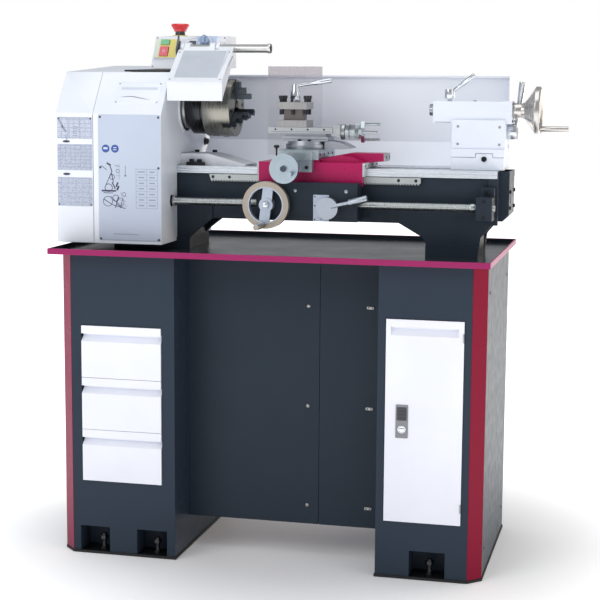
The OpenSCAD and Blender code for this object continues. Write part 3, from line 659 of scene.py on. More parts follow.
def knurl(name, centre, direction, r, l, n, body, mat):
    """Fine axial ribs round a knob."""
    u, v, d = frame_of(direction)
    o = V(*centre)
    verts, faces = [], []
    for i in range(n):
        a = 2 * math.pi * i / n
        e = u * math.cos(a) + v * math.sin(a)
        t = d.cross(e)
        w = math.pi * r / n * 0.5
        n0 = len(verts)
        for h in (0, l):
            verts += [o + e * (r - 0.3) * S - t * w * S + d * h * S, o + e * (r + 0.45) * S + d * h * S, o + e * (r - 0.3) * S + t * w * S + d * h * S]
        faces += [[n0, n0 + 1, n0 + 4, n0 + 3], [n0 + 1, n0 + 2, n0 + 5, n0 + 4], [n0 + 2, n0, n0 + 3, n0 + 5], [n0, n0 + 2, n0 + 1], [n0 + 3, n0 + 4, n0 + 5]]
    return finish_mesh(new_object(name, verts, faces), body, mat)


FRONT = (0, -1, 0)
BODY = "frame"

# ------------------------------------------------------------------ stand details
screws = []
for z in (553, 335, 115):
    screws.append(((68, -116, z), FRONT, pan_screw(4.2, 2.4)))
lathe("centre_panel_screws", screws, BODY, "zinc", 20)
multi_box("access_panel_latches", [(195, 211, -118.2, -115.9, z - 3.2, z + 3.2) for z in (554, 336, 116)], BODY, "zinc", 1.0, 3)
lathe("access_panel_latch_screws", [((x, -118.1, z), FRONT, pan_screw(1.7, 0.7)) for z in (554, 336, 116) for x in (199, 207)], BODY, "dark_zinc", 16)

# black kick edge under each pedestal
def skirt(name, pts, t, z0, z1):
    n = len(pts)
    outer = []
    for i in range(n):
        p0, p1, p2 = Vector(pts[i - 1]), Vector(pts[i]), Vector(pts[(i + 1) % n])
        d1, d2 = (p1 - p0).normalized(), (p2 - p1).normalized()
        n1, n2 = Vector((d1.y, -d1.x)), Vector((d2.y, -d2.x))
        b = (n1 + n2).normalized()
        outer.append(p1 + b * t / max(b.dot(n1), 0.3))
    verts, faces = [], []
    for z in (z0, z1):
        verts += [V(p[0], p[1], z) for p in pts] + [V(p[0], p[1], z) for p in outer]
    for i in range(n):
        j = (i + 1) % n
        faces += [[i, j, n + j, n + i], [2 * n + i, 3 * n + i, 3 * n + j, 2 * n + j], [n + i, n + j, 3 * n + j, 3 * n + i], [i, 2 * n + i, 2 * n + j, j]]
    return finish_mesh(new_object(name, verts, faces), BODY, "rubber", 0.6, 2)


skirt("left_plinth_edge", [(-461, -189.5), (-434, -216.5), (-201, -216.5), (-201, 215), (-461, 215)], 2.0, 0.6, 6.2)
skirt("right_plinth_edge", [(238, -216.5), (431.5, -216.5), (458.5, -189.5), (458.5, 215), (238, 215)], 2.0, 0.6, 6.2)

# door handle plate with recessed pull and key barrel ring
plate("door_latch_plate", [rect(-13, -35, 13, 35, 2.0), circle(0, -16.5, 6.5)], (291, -219, 336), (1, 0, 0), (0, 0, 1), 1.6, "cabinet_door", "lock_grey", 0.35)
multi_box("door_latch_pull", [(281, 301, -221.4, -220.4, 338, 366), (281, 301, -222.6, -221.3, 341, 343.4), (281, 301, -222.6, -221.3, 348, 350.4), (281, 301, -222.6, -221.3, 355, 357.4)], "cabinet_door", "lock_dark", 0.3)
plate("door_latch_ring", [circle(0, 0, 8.4), circle(0, 0, 6.5)], (291, -220.6, 319.5), (1, 0, 0), (0, 0, 1), 0.5, "cabinet_door", "chrome", 0.15)
lathe("door_hinge_caps", [((415.2, -220.2, z), (0, 0, 1), [(0, 0), (1.1, 0), (1.3, 0.3), (1.3, 17.7), (1.1, 18), (0, 18)]) for z in (150, 505)], "cabinet_door", "zinc", 14)

# screws on the outside of the pedestals, rivets on their inner panels
for side, x, nx in (("left", -461, -1), ("right", 458.5, 1)):
    lathe("%s_side_screws" % side, [((x, y, z), (nx, 0, 0), pan_screw(3.6, 1.8)) for y in (-150, 180) for z in (60, 600)], BODY, "dark_zinc", 18)
lathe("rear_screws", [((x, 215, z), (0, 1, 0), pan_screw(3.6, 1.8)) for x in (-440, -222, 258, 438) for z in (90, 350, 620)], BODY, "dark_zinc", 18)
lathe("inner_panel_rivets", [((x, -98.2, z), (0, 1, 0), pan_screw(3.0, 1.4)) for x in (-190, 84, 102, 228) for z in (90, 366, 640)], BODY, "dark_zinc", 16)
# tray corner welds: a soft bead inside each corner of the rim
beads = []
for sx in (-1, 1):
    for sy in (-1, 1):
        beads.append(((sx * 465.8, sy * 252.8, 664.1), (0, 0, 1), [(0, 0), (1.9, 0), (1.6, 4), (1.2, 9.2), (0.6, 9.7), (0, 9.8)]))
lathe("tray_corner_beads", beads, BODY, "apron_paint", 14)

# ------------------------------------------------------------------ headstock details
Y0 = -176.0
plate("front_label_panel", [rect(-70, -134.5, 70, 134.5, 2.5)], (-313, Y0, 821.5), (1, 0, 0), (0, 0, 1), 1.1, BODY, "label_grey", 0.25)
pl = Y0 - 1.1
lathe("front_label_screws", [((x, pl, z), FRONT, pan_screw(2.6, 1.2)) for x in (-378.5, -247.5) for z in (950.5, 843.5, 690.5)], BODY, "dark_zinc", 18)
for i, x in enumerate((-366, -345)):
    lathe("notice_disc_%d" % (i + 1), [((x, pl + 0.02, 883.5), FRONT, [(0, 0), (8.6, 0), (8.6, 0.28), (8.3, 0.42), (0, 0.42)])], BODY, "disc_blue", 36)
# pale pictogram marks on the discs
multi_box("notice_disc_marks", [(-371, -361.5, pl - 0.62, pl - 0.38, 882, 886.4), (-348.8, -341.2, pl - 0.62, pl - 0.38, 884.8, 886.6), (-348.8, -341.2, pl - 0.62, pl - 0.38, 880.6, 882.2)], BODY, "ink_pale", 0.08, 1)
# table of empty cells
tb = []
tx0, tx1, tz0, tz1 = -298, -250, 757.5, 841
for i in range(3):
    x = tx0 + (tx1 - tx0) * i / 2
    tb.append((x - 0.35, x + 0.35, pl - 0.2, pl + 0.05, tz0, tz1))
for i in range(8):
    z = tz0 + (tz1 - tz0) * i / 7
    tb.append((tx0 - 0.35, tx1 + 0.35, pl - 0.2, pl + 0.05, z - 0.35, z + 0.35))
multi_box("speed_table_lines", tb, BODY, "ink_soft", 0.0)
cells = []
rnd = random.Random(4)
for i in range(2):
    for j in range(7):
        cx = tx0 + 12 + 24 * i
        cz = tz0 + (tz1 - tz0) * (j + 0.5) / 7
        w = rnd.uniform(5.5, 8.5)
        cells.append((cx - w, cx + w, pl - 0.18, pl + 0.05, cz - 1.3, cz + 1.3))
multi_box("speed_table_bars", cells, BODY, "ink_soft", 0.0)


# gear-train diagram: rings, links and a base, engraved on the panel
def ring_set(name, rings, y, body, mat):
    verts_items = []
    for cx, cz, r, w in rings:
        verts_items.append(((cx, y + 0.05, cz), FRONT, [(r - w, 0), (r, 0), (r, 0.24), (r - w, 0.24)]))
    return lathe(name, verts_items, body, mat, 28)


ring_set("diagram_rings", [(-360, 800, 9, 1.5), (-352, 823, 6, 1.3), (-344, 778, 7.5, 1.3), (-362, 771, 11, 1.2), (-334, 770, 9, 1.0), (-326, 786, 5, 0.9), (-339, 836, 4.2, 0.9)], pl, BODY, "ink")


def strokes(name, segs, y, body, mat):
    verts, faces = [], []
    for (x0, z0), (x1, z1), w in segs:
        d = Vector((x1 - x0, z1 - z0)).normalized()
        p = Vector((-d.y, d.x)) * w / 2
        n0 = len(verts)
        for yy in (y + 0.05, y - 0.2):
            verts += [V(x0 + p.x, yy, z0 + p.y), V(x1 + p.x, yy, z1 + p.y), V(x1 - p.x, yy, z1 - p.y), V(x0 - p.x, yy, z0 - p.y)]
        faces += [[n0 + k for k in f] for f in ((0, 1, 2, 3), (7, 6, 5, 4), (0, 4, 5, 1), (1, 5, 6, 2), (2, 6, 7, 3), (3, 7, 4, 0))]
    return finish_mesh(new_object(name, verts, faces), body, mat)


strokes("diagram_strokes", [((-376, 847), (-364, 838), 1.2), ((-364, 853), (-355, 848), 3.6), ((-357, 848), (-352, 834), 2.0), ((-354, 834), (-349, 812), 1.8), ((-366, 806), (-354, 832), 1.4),
                            ((-352, 812), (-345, 798), 2.6), ((-343, 802), (-339, 812), 3.4), ((-376, 793.5), (-343, 793.5), 3.6), ((-372, 789), (-350, 789), 1.4), ((-341, 795), (-337, 804), 4.2),
                            ((-372, 776), (-352, 764), 1.6), ((-352, 764), (-322, 756), 1.4), ((-356, 782), (-330, 758), 1.2), ((-338, 782), (-345, 757), 1.6), ((-328, 778), (-334, 757), 1.4),
                            ((-322, 848), (-322, 826), 0.8), ((-324, 826), (-320, 826), 2.2), ((-345, 848), (-336, 846), 1.0)], pl, BODY, "ink")
strokes("diagram_fine", [((-340, 776), (-320, 771), 0.8), ((-342, 768), (-320, 764), 0.8), ((-346, 761), (-318, 761), 0.8), ((-336, 852), (-336, 818), 0.7), ((-346, 826), (-332, 826), 0.7), ((-334, 790), (-318, 780), 0.8),
                         ((-350, 701.5), (-292, 700.5), 1.6)], pl, BODY, "ink_soft")

# engraved charts on the gear cover
for nm, x0, x1, z0, z1, mt in (("chart_top", -476.5, -397.5, 903.5, 949.5, "chart_a"), ("chart_middle", -476.5, -397.5, 836, 891.5, "chart_b"), ("chart_bottom", -476.5, -397.5, 759, 820.5, "chart_c")):
    plate(nm, [rect(x0 + 437, z0 - 850, x1 + 437, z1 - 850, 1.5)], (-437, Y0, 850), (1, 0, 0), (0, 0, 1), 0.8, "gear_cover", mt, 0.2)
yc = Y0 - 0.8
strokes("chart_marks", [((-474, 948), (-463, 928), 3.2), ((-466, 930), (-456, 918), 4.2), ((-456, 914), (-456, 901), 1.2), ((-440, 929), (-431, 929), 1.4), ((-440, 925), (-431, 925), 1.4), ((-440, 920), (-431, 920), 1.4), ((-440, 915), (-431, 915), 1.4), ((-440, 910), (-431, 910), 1.4),
                        ((-474, 947.6), (-398.5, 947.6), 1.0), ((-449, 946), (-449, 905), 0.8), ((-424, 946), (-424, 905), 0.8), ((-474, 905.2), (-398.5, 905.2), 0.8)], yc, "gear_cover", "ink_soft")
for nm, x, z in (("gear_icon_1", -456, 897.5), ("gear_icon_2", -456, 827.5)):
    plate(nm, [[(8.2 * math.cos(2 * math.pi * i / 28), 2.5 * math.sin(2 * math.pi * i / 28)) for i in range(28)]], (x, Y0, z), (1, 0, 0), (0, 0, 1), 1.0, "gear_cover", "ink", 0.2)
lathe("gear_cover_screws", [((x, yc, z), FRONT, pan_screw(1.9, 0.8)) for x, z in ((-473.5, 946.5), (-400.5, 946.5), (-473.5, 762), (-400.5, 762))], "gear_cover", "dark_zinc", 16)

# blank nameplate on the slope, held by four drive screws
sl = Vector((0, 64, 89)).normalized()
sn = Vector((0, -89, 64)).normalized()
plate("nameplate", [rect(-49, -27, 49, 27, 2.0)], (-303, -144.2, 1001.2), (1, 0, 0), tuple(sl), 0.7, BODY, "housing_white", 0.2)
lathe("nameplate_screws", [((-303 + a, -144.2 + sl.y * b + sn.y * 0.7, 1001.2 + sl.z * b + sn.z * 0.7), tuple(sn), pan_screw(1.8, 0.7)) for a in (-46, 46) for b in (-24, 24)], BODY, "zinc", 16)


def slope_pt(x, b, h=0.75):
    return V(x, -144.2 + sl.y * b + sn.y * h, 1001.2 + sl.z * b + sn.z * h)


def slope_line(name, pts, w, mat):
    verts, faces = [], []
    for (x, b), (x2, b2) in zip(pts, pts[1:]):
        n0 = len(verts)
        for h in (0.6, 0.85):
            verts += [slope_pt(x, b - w / 2, h), slope_pt(x2, b2 - w / 2, h), slope_pt(x2, b2 + w / 2, h), slope_pt(x, b + w / 2, h)]
        faces += [[n0 + k for k in f] for f in ((0, 3, 2, 1), (4, 5, 6, 7), (0, 1, 5, 4), (1, 2, 6, 5), (2, 3, 7, 6), (3, 0, 4, 7))]
    return finish_mesh(new_object(name, verts, faces), BODY, mat)


slope_line("nameplate_band", [(-343, 11.5), (-261, 11.5)], 6.5, "ink_pale")
slope_line("nameplate_wave", [(-340, -11), (-330, -10), (-318, -9.2), (-308, -10.4), (-298, -13), (-286, -15.5), (-274, -17)], 2.2, "ink_pale")
# seam of the cover and gasket line
multi_box("cover_gasket", [(-395.55, -395.05, -176.3, -175.6, 683, 955)], BODY, "seam", 0.1, 1)
# fixings on the housing and headstock casting
lathe("headstock_bolts", [((x, 46, 870), (0, 0, 1), cap_screw(5.5, 5.5)) for x in (-232, -190)], BODY, "black_oxide", 28)
multi_box("headstock_clamp", [(-224, -186, -60, -40.6, 845.2, 852.5)], BODY, "black_oxide", 1.2, 3)
lathe("headstock_clamp_bolts", [((x, -51, 852.5), (0, 0, 1), cap_screw(5.4, 6.0)) for x in (-214, -196)], BODY, "black_oxide", 26)
lathe("wall_plug", [((-242, 138, 891), (1, 0, 0), [(0, 9), (5.5, 9), (7, 7.6), (7, 2.5), (8.8, 2.2), (8.8, 0), (0, 0)])], BODY, "black_plastic", 28)
lathe("spindle_cover_ring", [((-242.2, 0, 970), (1, 0, 0), [(50.5, 0), (57, 0), (57, 2.0), (56, 2.8), (51.5, 2.8), (50.5, 2.0)])], BODY, "hood_white", 64)
# vents on the housing's rear and cover latches on its left end
multi_box("rear_vents", [(-372 + 13.5 * i, -366 + 13.5 * i, 189.6, 190.9, 730, 800) for i in range(8)] + [(-372 + 13.5 * i, -366 + 13.5 * i, 189.6, 190.9, 900, 970) for i in range(8)], BODY, "ink", 0.5, 2)
lathe("rear_housing_screws", [((x, 190, z), (0, 1, 0), pan_screw(3.2, 1.6)) for x in (-386, -251) for z in (690, 870, 1050)], BODY, "zinc", 18)
lathe("cover_lock_knobs", [((-464, 190, z), (0, 1, 0), [(0, 12), (7.5, 12), (9, 10.6), (9, 5), (6, 4), (6, 1.5), (10.5, 1.2), (10.5, 0), (0, 0)]) for z in (740, 985)], "gear_cover", "black_plastic", 28)
knurl("cover_lock_ribs_1", (-464, 194.8, 740), (0, 1, 0), 9.0, 5.8, 26, "gear_cover", "black_plastic")
knurl("cover_lock_ribs_2", (-464, 194.8, 985), (0, 1, 0), 9.0, 5.8, 26, "gear_cover", "black_plastic")
# a flat black pad on the roof, painted shadow under the control box and its bracket; a cable gland below the control
# box
prism("control_box_shadow_pad", [V(-352, -96, 1047.6), V(-302, -108, 1046.9), V(-246, -108, 1046.9), V(-246, -48, 1050.2), V(-302, -48, 1050.2)], (0, 0, 0.0035), BODY, "black_plastic", 0.5)
lathe("cable_gland", [((-200, 61, 1085), (0, 1, 0), [(0, 15), (4, 15), (5.5, 13), (8, 12), (8, 6), (10, 5.5), (10, 0), (0, 0)])], BODY, "black_plastic", 24)

# ------------------------------------------------------------------ control panel details
ph = math.hypot(40, 72)
pu = Vector((0, 40, 72)).normalized()
pn = Vector((0, -72, 40)).normalized()


def on_panel(x, u, n):
    return (x, -52 + pu.y * u + pn.y * n, 1054 + pu.z * u + pn.z * n)


plate("switch_surround", [rect(-26, -23, 26, 23, 2.5), rect(-14.4, -19.4, 6.4, 5.0, 0.8), rect(-14.4, 9.0, 6.4, 22.0 - 0.6, 0.8)], on_panel(-277, 48, 5.0), (1, 0, 0), tuple(pu), 0.8, BODY, "yellow", 0.2)
plate("switch_surround_pale", [rect(-26, -23, -15.2, 23, 1.5)], on_panel(-277, 48, 5.75), (1, 0, 0), tuple(pu), 0.25, BODY, "pale_yellow", 0.08)
plate("direction_plate", [rect(-19, -16, 25, 16, 2.0), circle(0, 0, 15.3)], on_panel(-192, 66, 0.0), (1, 0, 0), tuple(pu), 0.7, BODY, "panel_blue", 0.2)
# painted shade: a dark plate beside the open switch flap stands in for the shade there
plate("flap_painted_shade", [rect(0, 0, 16, 26, 2.0)], on_panel(-227 - 1.5, 44, 0.0), (1, 0, 0), tuple(pu), 0.8, BODY, "flap_grey", 0.2)
lathe("panel_screws", [(on_panel(x, u, 0.0), tuple(pn), pan_screw(2.2, 1.0)) for x in (-303.5, -149) for u in (6, 77.5)], BODY, "zinc", 16)
lathe("estop_ring", [((-261, 16, 1126.0), (0, 0, 1), [(11.4, 0), (17.5, 0), (17.5, 1.6), (16.6, 2.4), (12.2, 2.4), (11.4, 1.8)])], BODY, "yellow", 40)
lathe("stop_mark", [(on_panel(-281, 40, 9.0), tuple(pn), [(2.2, 0), (3.2, 0), (3.2, 0.18), (2.2, 0.18)])], "stop_button", "ink_pale", 24)
multi_box("control_box_rear_lid", [(-304, -148, 59.4, 61.2, 1062, 1122)], BODY, "hood_white", 0.6)
lathe("control_box_lid_screws", [((x, 61.2, z), (0, 1, 0), pan_screw(2.6, 1.3)) for x in (-298, -154) for z in (1068, 1116)], BODY, "zinc", 16)

# ------------------------------------------------------------------ hood details
hd = Vector((0, (-46 - 6) + 147, (1098 + 2) - 1022)).normalized()
hn = Vector((0, -hd.z, hd.y))
hood = []
for x in (-233, -121):
    for u in (8, 100):
        hood.append(((x, -147 + hd.y * u + hn.y * 5.0, 1022 + hd.z * u + hn.z * 5.0), tuple(hn), pan_screw(2.1, 1.0)))
lathe("hood_screws", hood, "chuck_guard", "zinc", 16)
lathe("pivot_end_cap", [((-36, -46, 1098), (1, 0, 0), [(0, 1.2), (5.2, 1.2), (5.2, 0.2), (9.4, 0.2), (10.2, -0.6), (10.2, -2), (0, -2)])], "chuck_guard", "black_plastic", 32)

# ------------------------------------------------------------------ chuck details
key = math.radians(158)
items = []
for a in (158, 278, 38):
    t = math.radians(a)
    d = (0, math.cos(t), math.sin(t))
    items.append(((-150, 62.0 * d[1], 970 + 62.0 * d[2]), d, [(6.9, 0), (9.6, 0), (9.6, 0.5), (9.0, 0.72), (7.3, 0.72), (6.9, 0.5)]))
lathe("chuck_key_rings", items, "spindle", "black_oxide", 32)
bolts = []
for a in (8, 68, 128, 188, 248, 308):
    t = math.radians(a)
    bolts.append(((-126.6, 46 * math.cos(t), 970 + 46 * math.sin(t)), (1, 0, 0), cap_screw(4.2, 1.3)))
lathe("chuck_face_screws", bolts, "spindle", "black_oxide", 22)
nuts = []
for a in (40, 100, 160, 220, 280, 340):
    t = math.radians(a)
    nuts.append(((-220, 47 * math.cos(t), 970 + 47 * math.sin(t)), (-1, 0, 0), cap_screw(4.4, 5.0)))
lathe("chuck_mount_screws", nuts, "spindle", "black_oxide", 20)
# scroll teeth on the jaws' steps: fine ribs across the clamping faces
for i, a in enumerate((98, 218, 338)):
    t = math.radians(a)
    e = Vector((0, math.cos(t), math.sin(t)))
    s = Vector((0, -math.sin(t), math.cos(t)))
    verts, faces = [], []
    for r0, x1, hw in ((44.0, -104.4, 7.2), (57.0, -115.4, 7.2), (31.0, -92.6, 5.2)):
        for k in range(4):
            xx = x1 - 8 + 2.2 * k
            n0 = len(verts)
            for rr in (r0 - 0.2, r0 + 0.35):
                for dx in (-0.5, 0.5):
                    for w in (-hw, hw):
                        p = e * rr + s * w
                        verts.append(V(xx + dx, p.y, 970 + p.z))
            faces += [[n0 + q for q in f] for f in ((0, 1, 3, 2), (4, 6, 7, 5), (0, 4, 5, 1), (2, 3, 7, 6), (0, 2, 6, 4), (1, 5, 7, 3))]
    finish_mesh(new_object("jaw_%d_serrations" % (i + 1), verts, faces), "chuck_jaw_%d" % (i + 1), "jaw_steel")

# ------------------------------------------------------------------ bed details
lathe("rack_screws", [((x, -74.1, 822), FRONT, pan_screw(3.4, 1.1)) for x in (-158, -121, 251, 288)], BODY, "black_oxide", 24)
lathe("foot_bolts", [((x, s * 60, 686), (0, 0, 1), cap_screw(6.0, 7.0)) for x in (-372, -228, 326, 405) for s in (-1, 1)], BODY, "black_oxide", 24)
lathe("bracket_bolt", [((440, -82, 802), FRONT, cap_screw(5.2, 4.6))], BODY, "black_oxide", 26)
lathe("bracket_screws", [((438, -123, 752), FRONT, cap_screw(3.2, 2.2)), ((438, -123, 786), FRONT, cap_screw(3.2, 2.2))], BODY, "black_oxide", 22)
plate("bed_end_plate", [rect(-26, -9, 26, 9, 1.5)], (481, 16, 782), (0, 1, 0), (0, 0, 1), 0.8, BODY, "seam", 0.2)
lathe("bed_end_screws", [((481, y, z), (1, 0, 0), cap_screw(4.0, 3.4)) for y in (-26, 56) for z in (766, 800)], BODY, "black_oxide", 22)

# lead-screw thread: a trapezoid ridge wound on the core
verts, faces = [], []
pitch, steps = 4.0, 20
x = -229.0
turns = (406.0 - x) / pitch
count = int(turns * steps)
for i in range(count + 1):
    a = 2 * math.pi * i / steps
    cx = x + pitch * i / steps
    for r, dx in ((7.7, -1.25), (8.7, -0.6), (8.7, 0.6), (7.7, 1.25)):
        verts.append(V(cx + dx, -105 + r * math.cos(a), 770 + r * math.sin(a)))
    if i:
        b0, b1 = 4 * (i - 1), 4 * i
        for k in range(4):
            k2 = (k + 1) % 4
            faces.append([b0 + k, b0 + k2, b1 + k2, b1 + k])
faces += [[0, 3, 2, 1], [4 * count, 4 * count + 1, 4 * count + 2, 4 * count + 3]]
finish_mesh(new_object("leadscrew_thread", verts, faces), "leadscrew", "screw_steel")

# ------------------------------------------------------------------ carriage details
multi_box("way_wipers", [(176.0, 180.5, -91, -68.2, 829, 857.5), (176.0, 180.5, -68.2, 64, 846, 857.0), (-54.5, -50.0, -91, -68.2, 829, 857.5), (-54.5, -50.0, -68.2, 64, 846, 857.0)], "carriage", "felt", 0.5)
lathe("wiper_screws", [((180.5, y, 851), (1, 0, 0), pan_screw(2.2, 1.2)) for y in (-80, -45, 0, 45)] + [((-54.5, y, 851), (-1, 0, 0), pan_screw(2.2, 1.2)) for y in (-80, -45, 0, 45)], "carriage", "black_oxide", 16)
multi_box("wing_end_plate", [(212.0, 216.5, -40, 14, 860.2, 877)], "carriage", "zinc", 0.5)
lathe("wing_end_screws", [((216.5, y, 868.5), (1, 0, 0), pan_screw(2.4, 1.2)) for y in (-32, 6)], "carriage", "black_oxide", 16)
lathe("feed_bracket_screws", [((x, -112, z), FRONT, cap_screw(3.8, 3.2)) for x, z in ((60, 848), (6, 856))], "carriage", "black_oxide", 24)
lathe("cross_slide_stop_knob", [((-19, -60, 863.5), (0, 0, 1), [(0, 29), (3.5, 29), (5.6, 28.2), (6.2, 26), (5.4, 23.4), (2.6, 22), (2.0, 21), (2.0, 0), (0, 0)])], "carriage", "black_plastic", 26)
lathe("cross_slide_stop_collar", [((-19, -60, 857.8), (0, 0, 1), [(0, 6.2), (4.4, 6.2), (5.0, 5.6), (5.0, 0), (0, 0)])], "carriage", "black_oxide", 24)
plate("half_nut_plate", [rect(-17, -28, 17, 28, 1.2)], (96.5, -130.0, 764), (1, 0, 0), (0, 0, 1), 0.8, "carriage", "label_grey", 0.2)
lathe("half_nut_plate_screws", [((x, -130.8, z), FRONT, pan_screw(1.7, 0.5)) for x, z in ((83, 788), (83, 769), (83, 740))], "carriage", "ink", 16)
lathe("half_nut_detent", [((97, -130.7, 741), FRONT, [(0, 0.4), (1.5, 0.4), (1.5, 0), (0, 0)])], "carriage", "ink", 16)
lathe("apron_oilers", [((x, -130, z), FRONT, [(0, 1.4), (2.2, 1.4), (3.6, 1.0), (4.2, 0), (0, 0)]) for x, z in ((40, 800), (150, 800))], "carriage", "machined", 20)
lathe("carriage_wheel_nut_cap", [((-18, -160.9, 769.5), FRONT, [(0, 1.4), (3.0, 1.2), (4.6, 0.5), (4.8, 0), (0, 0)])], "carriage_handwheel", "chrome", 24)
lathe("cross_wheel_centre", [((28, -189, 848), FRONT, [(0, 0.4), (2.9, 0.4), (2.9, 1.4), (5.2, 1.5), (6.2, 1.2), (6.6, 0), (0, 0)])], "cross_slide_handwheel", "ink", 28)
ticks("cross_wheel_dial", (28, -150, 848), (0, -1, 0), 20.0, 7.0, 40, "cross_slide_handwheel", "ink", t0=2.0)
ticks("top_crank_dial", (128, 0, 921), (1, 0, 0), 16.0, 6.0, 40, "top_slide_crank", "ink", t0=0.8)
ticks("tailstock_dial", (481.3, 0, 970), (1, 0, 0), 16.0, 5.0, 40, "tailstock_handwheel", "ink", t0=0.8)
ticks("swivel_scale", (37, 0, 886), (0, 0, 1), 49.0, 4.5, 72, "compound_base", "ink", t0=0.5)
ticks("quill_scale", (306, 0, 970), (1, 0, 0), 12.5, 2.0, 1, "quill", "ink", t0=1.0)
knurl("top_crank_knurl", (143, 0, 921), (1, 0, 0), 16.0, 8.0, 44, "top_slide_crank", "top_crank")
knurl("cross_collar_knurl", (28, -158, 848), (0, -1, 0), 20.0, 10.0, 50, "cross_slide_handwheel", "cross_wheel")
multi_box("top_slide_gib", [(-40, 96, -36.35, -35.8, 920.4, 921.0)], "top_slide", "ink", 0.1, 1)
lathe("gib_screws", [((x, -36, 925.5), FRONT, cap_screw(2.0, 1.0)) for x in (-28, 8, 44, 80)], "top_slide", "black_oxide", 18)
multi_box("compound_gib", [(-11, 86, -36.3, -35.8, 904.6, 905.4)], "compound_base", "ink", 0.1, 1)
lathe("compound_clamp_bolts", [((x, -40, 893.0 + 8), (0, 0, 1), cap_screw(3.4, 3.2)) for x in (26, 48)], "compound_base", "black_oxide", 22)
lathe("cross_gib_screws", [((82, y, 874), (1, 0, 0), cap_screw(2.2, 1.2)) for y in (-80, -40, 0, 40)], "cross_slide", "black_oxide", 18)
# clear shield: folded bottom fixing strip with two screws
multi_box("shield_clamp_strip", [(-6, 50, 68.0, 69.6, 868, 881)], "cross_slide", "machined", 0.4)
lathe("shield_screws", [((x, 69.6, 874.5), (0, 1, 0), pan_screw(2.8, 1.6)) for x in (4, 40)], "cross_slide", "black_oxide", 18)

# ------------------------------------------------------------------ tailstock details
seam_y = -36
multi_box("tailstock_seam", [(356.6, 407.9, -36.25, -35.6, 871.7, 872.5), (444.0, 467.4, -36.25, -35.6, 871.7, 872.5), (407.7, 444.3, -36.25, -35.6, 880.0, 880.9), (407.4, 408.1, -36.25, -35.6, 872, 880.6), (443.9, 444.6, -36.25, -35.6, 872, 880.6)], "tailstock", "seam", 0.1, 1)
lathe("tailstock_side_bolt", [((426, -36, 868.5), FRONT, cap_screw(5.6, 4.2))], "tailstock", "black_oxide", 28)
lathe("tailstock_cover_screws", [((x, -30, z), FRONT, pan_screw(2.9, 1.6)) for x, z in ((368.5, 936.5), (456.5, 935.5), (368.5, 899.5), (456.5, 899.0))], "tailstock", "machined", 20)
lathe("tailstock_oiler", [((400, 0, 989), (0, 0, 1), [(0, 2.2), (2.0, 2.2), (3.6, 1.6), (4.0, 0), (0, 0)])], "tailstock", "machined", 20)
lathe("tailstock_end_screws", [((481, y, z), (1, 0, 0), cap_screw(2.6, 1.6)) for y in (-18, 18) for z in (948, 984)], "tailstock", "black_oxide", 18)
multi_box("quill_keyway_cover", [(318, 352, -23.25, -22.8, 944.2, 945.4)], "tailstock", "seam", 0.1, 1)
lathe("tailstock_wheel_hub_cap", [((516, 0, 970), (1, 0, 0), [(0, 5.5), (4.0, 5.3), (6.4, 4.2), (7.2, 2.0), (7.2, 0), (0, 0)])], "tailstock_handwheel", "chrome", 32)

# splash guard: hem beads, fixing screws
multi_box("splash_top_hem", [(-233.5, 459.5, 139.4, 141.2, 1039.5, 1043.5)], BODY, "splash_white", 0.5)
lathe("splash_screws", [((x, 151, z), (0, 1, 0), pan_screw(3.2, 1.8)) for x in (-200, 20, 240, 440) for z in (915, 1025)] , BODY, "zinc", 18)
lathe("splash_foot_screws", [((x, 69.2, 832), (0, 1, 0), pan_screw(3.2, 1.8)) for x in (-180, -20, 140, 300, 430)], BODY, "zinc", 18)

# ------------------------------------------------------------------ studio
bpy.ops.mesh.primitive_plane_add(size=30, location=(0, 0, 0))
floor = bpy.context.object
floor.name = "floor"
fm = Mat("floor_white")
fm.color(fm.mix(fm.span(fm.noise(0.6, 3.0), 0, 1), (0.90, 0.90, 0.905, 1), (0.93, 0.93, 0.935, 1)))
fm.rough(0.55)
fm.b.inputs["Specular IOR Level"].default_value = 0.25
# painted light: the floor glows, faintly under the machine and fully from about a metre out, so it reads white with a
# dark patch beneath the stand
fx, fy, fz = fm.xyz.outputs
dist = fm.math("SQRT", fm.math("ADD", fm.math("MULTIPLY", fx, fx), fm.math("MULTIPLY", fy, fy)))
floor_glow = fm.n("ShaderNodeMapRange", interpolation_type="SMOOTHSTEP")
fm.link(dist, floor_glow.inputs["Value"])
floor_glow.inputs["From Min"].default_value = 0.25
floor_glow.inputs["From Max"].default_value = 1.25
floor_glow.inputs["To Min"].default_value = 0.05
floor_glow.inputs["To Max"].default_value = 1.0
fm.b.inputs["Emission Color"].default_value = (1, 1, 1, 1)
fm.link(floor_glow.outputs[0], fm.b.inputs["Emission Strength"])
floor.data.materials.append(fm.m)

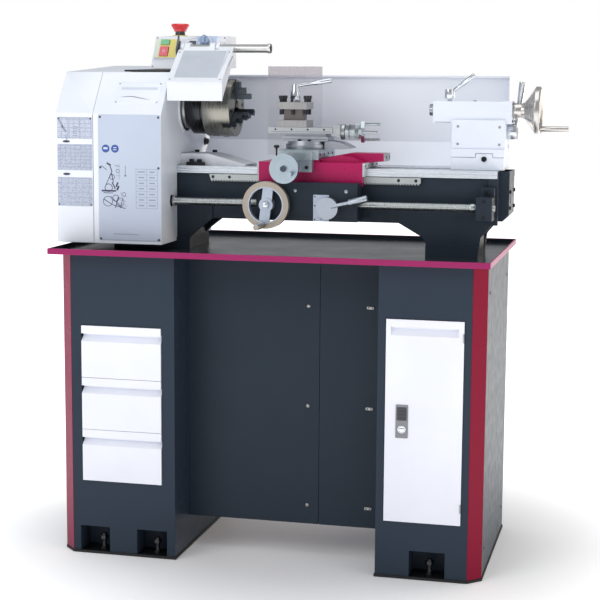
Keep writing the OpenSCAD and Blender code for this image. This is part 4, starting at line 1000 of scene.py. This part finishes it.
world = bpy.data.worlds.new("studio")
bpy.context.scene.world = world
world.use_nodes = True
wt = world.node_tree
wt.nodes.clear()
wo = wt.nodes.new("ShaderNodeOutputWorld")
bg = wt.nodes.new("ShaderNodeBackground")
bg2 = wt.nodes.new("ShaderNodeBackground")
mx = wt.nodes.new("ShaderNodeMixShader")
lp = wt.nodes.new("ShaderNodeLightPath")
bg.inputs[0].default_value = (0.93, 0.96, 1.0, 1)
bg.inputs[1].default_value = 0.46
bg2.inputs[0].default_value = (1, 1, 1, 1)
bg2.inputs[1].default_value = 1.0
wt.links.new(lp.outputs["Is Camera Ray"], mx.inputs[0])
wt.links.new(bg.outputs[0], mx.inputs[1])
wt.links.new(bg2.outputs[0], mx.inputs[2])
wt.links.new(mx.outputs[0], wo.inputs[0])


def area(name, loc, target, size, power, color=(1, 1, 1)):
    li = bpy.data.lights.new(name, "AREA")
    li.shape = "RECTANGLE"
    li.size, li.size_y = size
    li.energy = power
    li.color = color
    o = bpy.data.objects.new(name, li)
    bpy.context.scene.collection.objects.link(o)
    o.location = loc
    o.rotation_euler = (Vector(target) - Vector(loc)).to_track_quat("-Z", "Y").to_euler()
    return o


area("key", (-2.2, -3.4, 2.9), (0, 0, 0.7), (2.4, 2.0), 46, (1.0, 0.995, 0.985))
area("top", (0.2, -0.6, 3.6), (0, 0, 0.6), (2.6, 2.6), 30, (0.97, 0.985, 1.0))
area("fill_right", (3.4, -1.6, 1.6), (0.1, 0, 0.6), (2.0, 2.0), 14, (1.0, 0.96, 0.9))
area("warm_rear", (2.9, 2.6, 0.9), (0.3, 0, 0.4), (2.6, 1.6), 46, (1.0, 0.84, 0.64))

# ------------------------------------------------------------------ camera
az, el, ro = 0.237, 0.139, 0.007
back = Vector((math.sin(az) * math.cos(el), -math.cos(az) * math.cos(el), math.sin(el)))
right = Vector((math.cos(az), math.sin(az), 0))
up = back.cross(right)
r2 = right * math.cos(ro) + up * math.sin(ro)
u2 = -right * math.sin(ro) + up * math.cos(ro)
cam = bpy.data.cameras.new("camera")
cam.sensor_width = 36.0
cam.lens = 90.42
cam.clip_end = 100.0
co = bpy.data.objects.new("camera", cam)
bpy.context.scene.collection.objects.link(co)
co.matrix_world = Matrix(((r2.x, u2.x, back.x, 0.739), (r2.y, u2.y, back.y, -3.222), (r2.z, u2.z, back.z, 1.012), (0, 0, 0, 1)))
bpy.context.scene.camera = co
bpy.context.scene.view_settings.view_transform = "Standard"

bpy.context.view_layer.update()
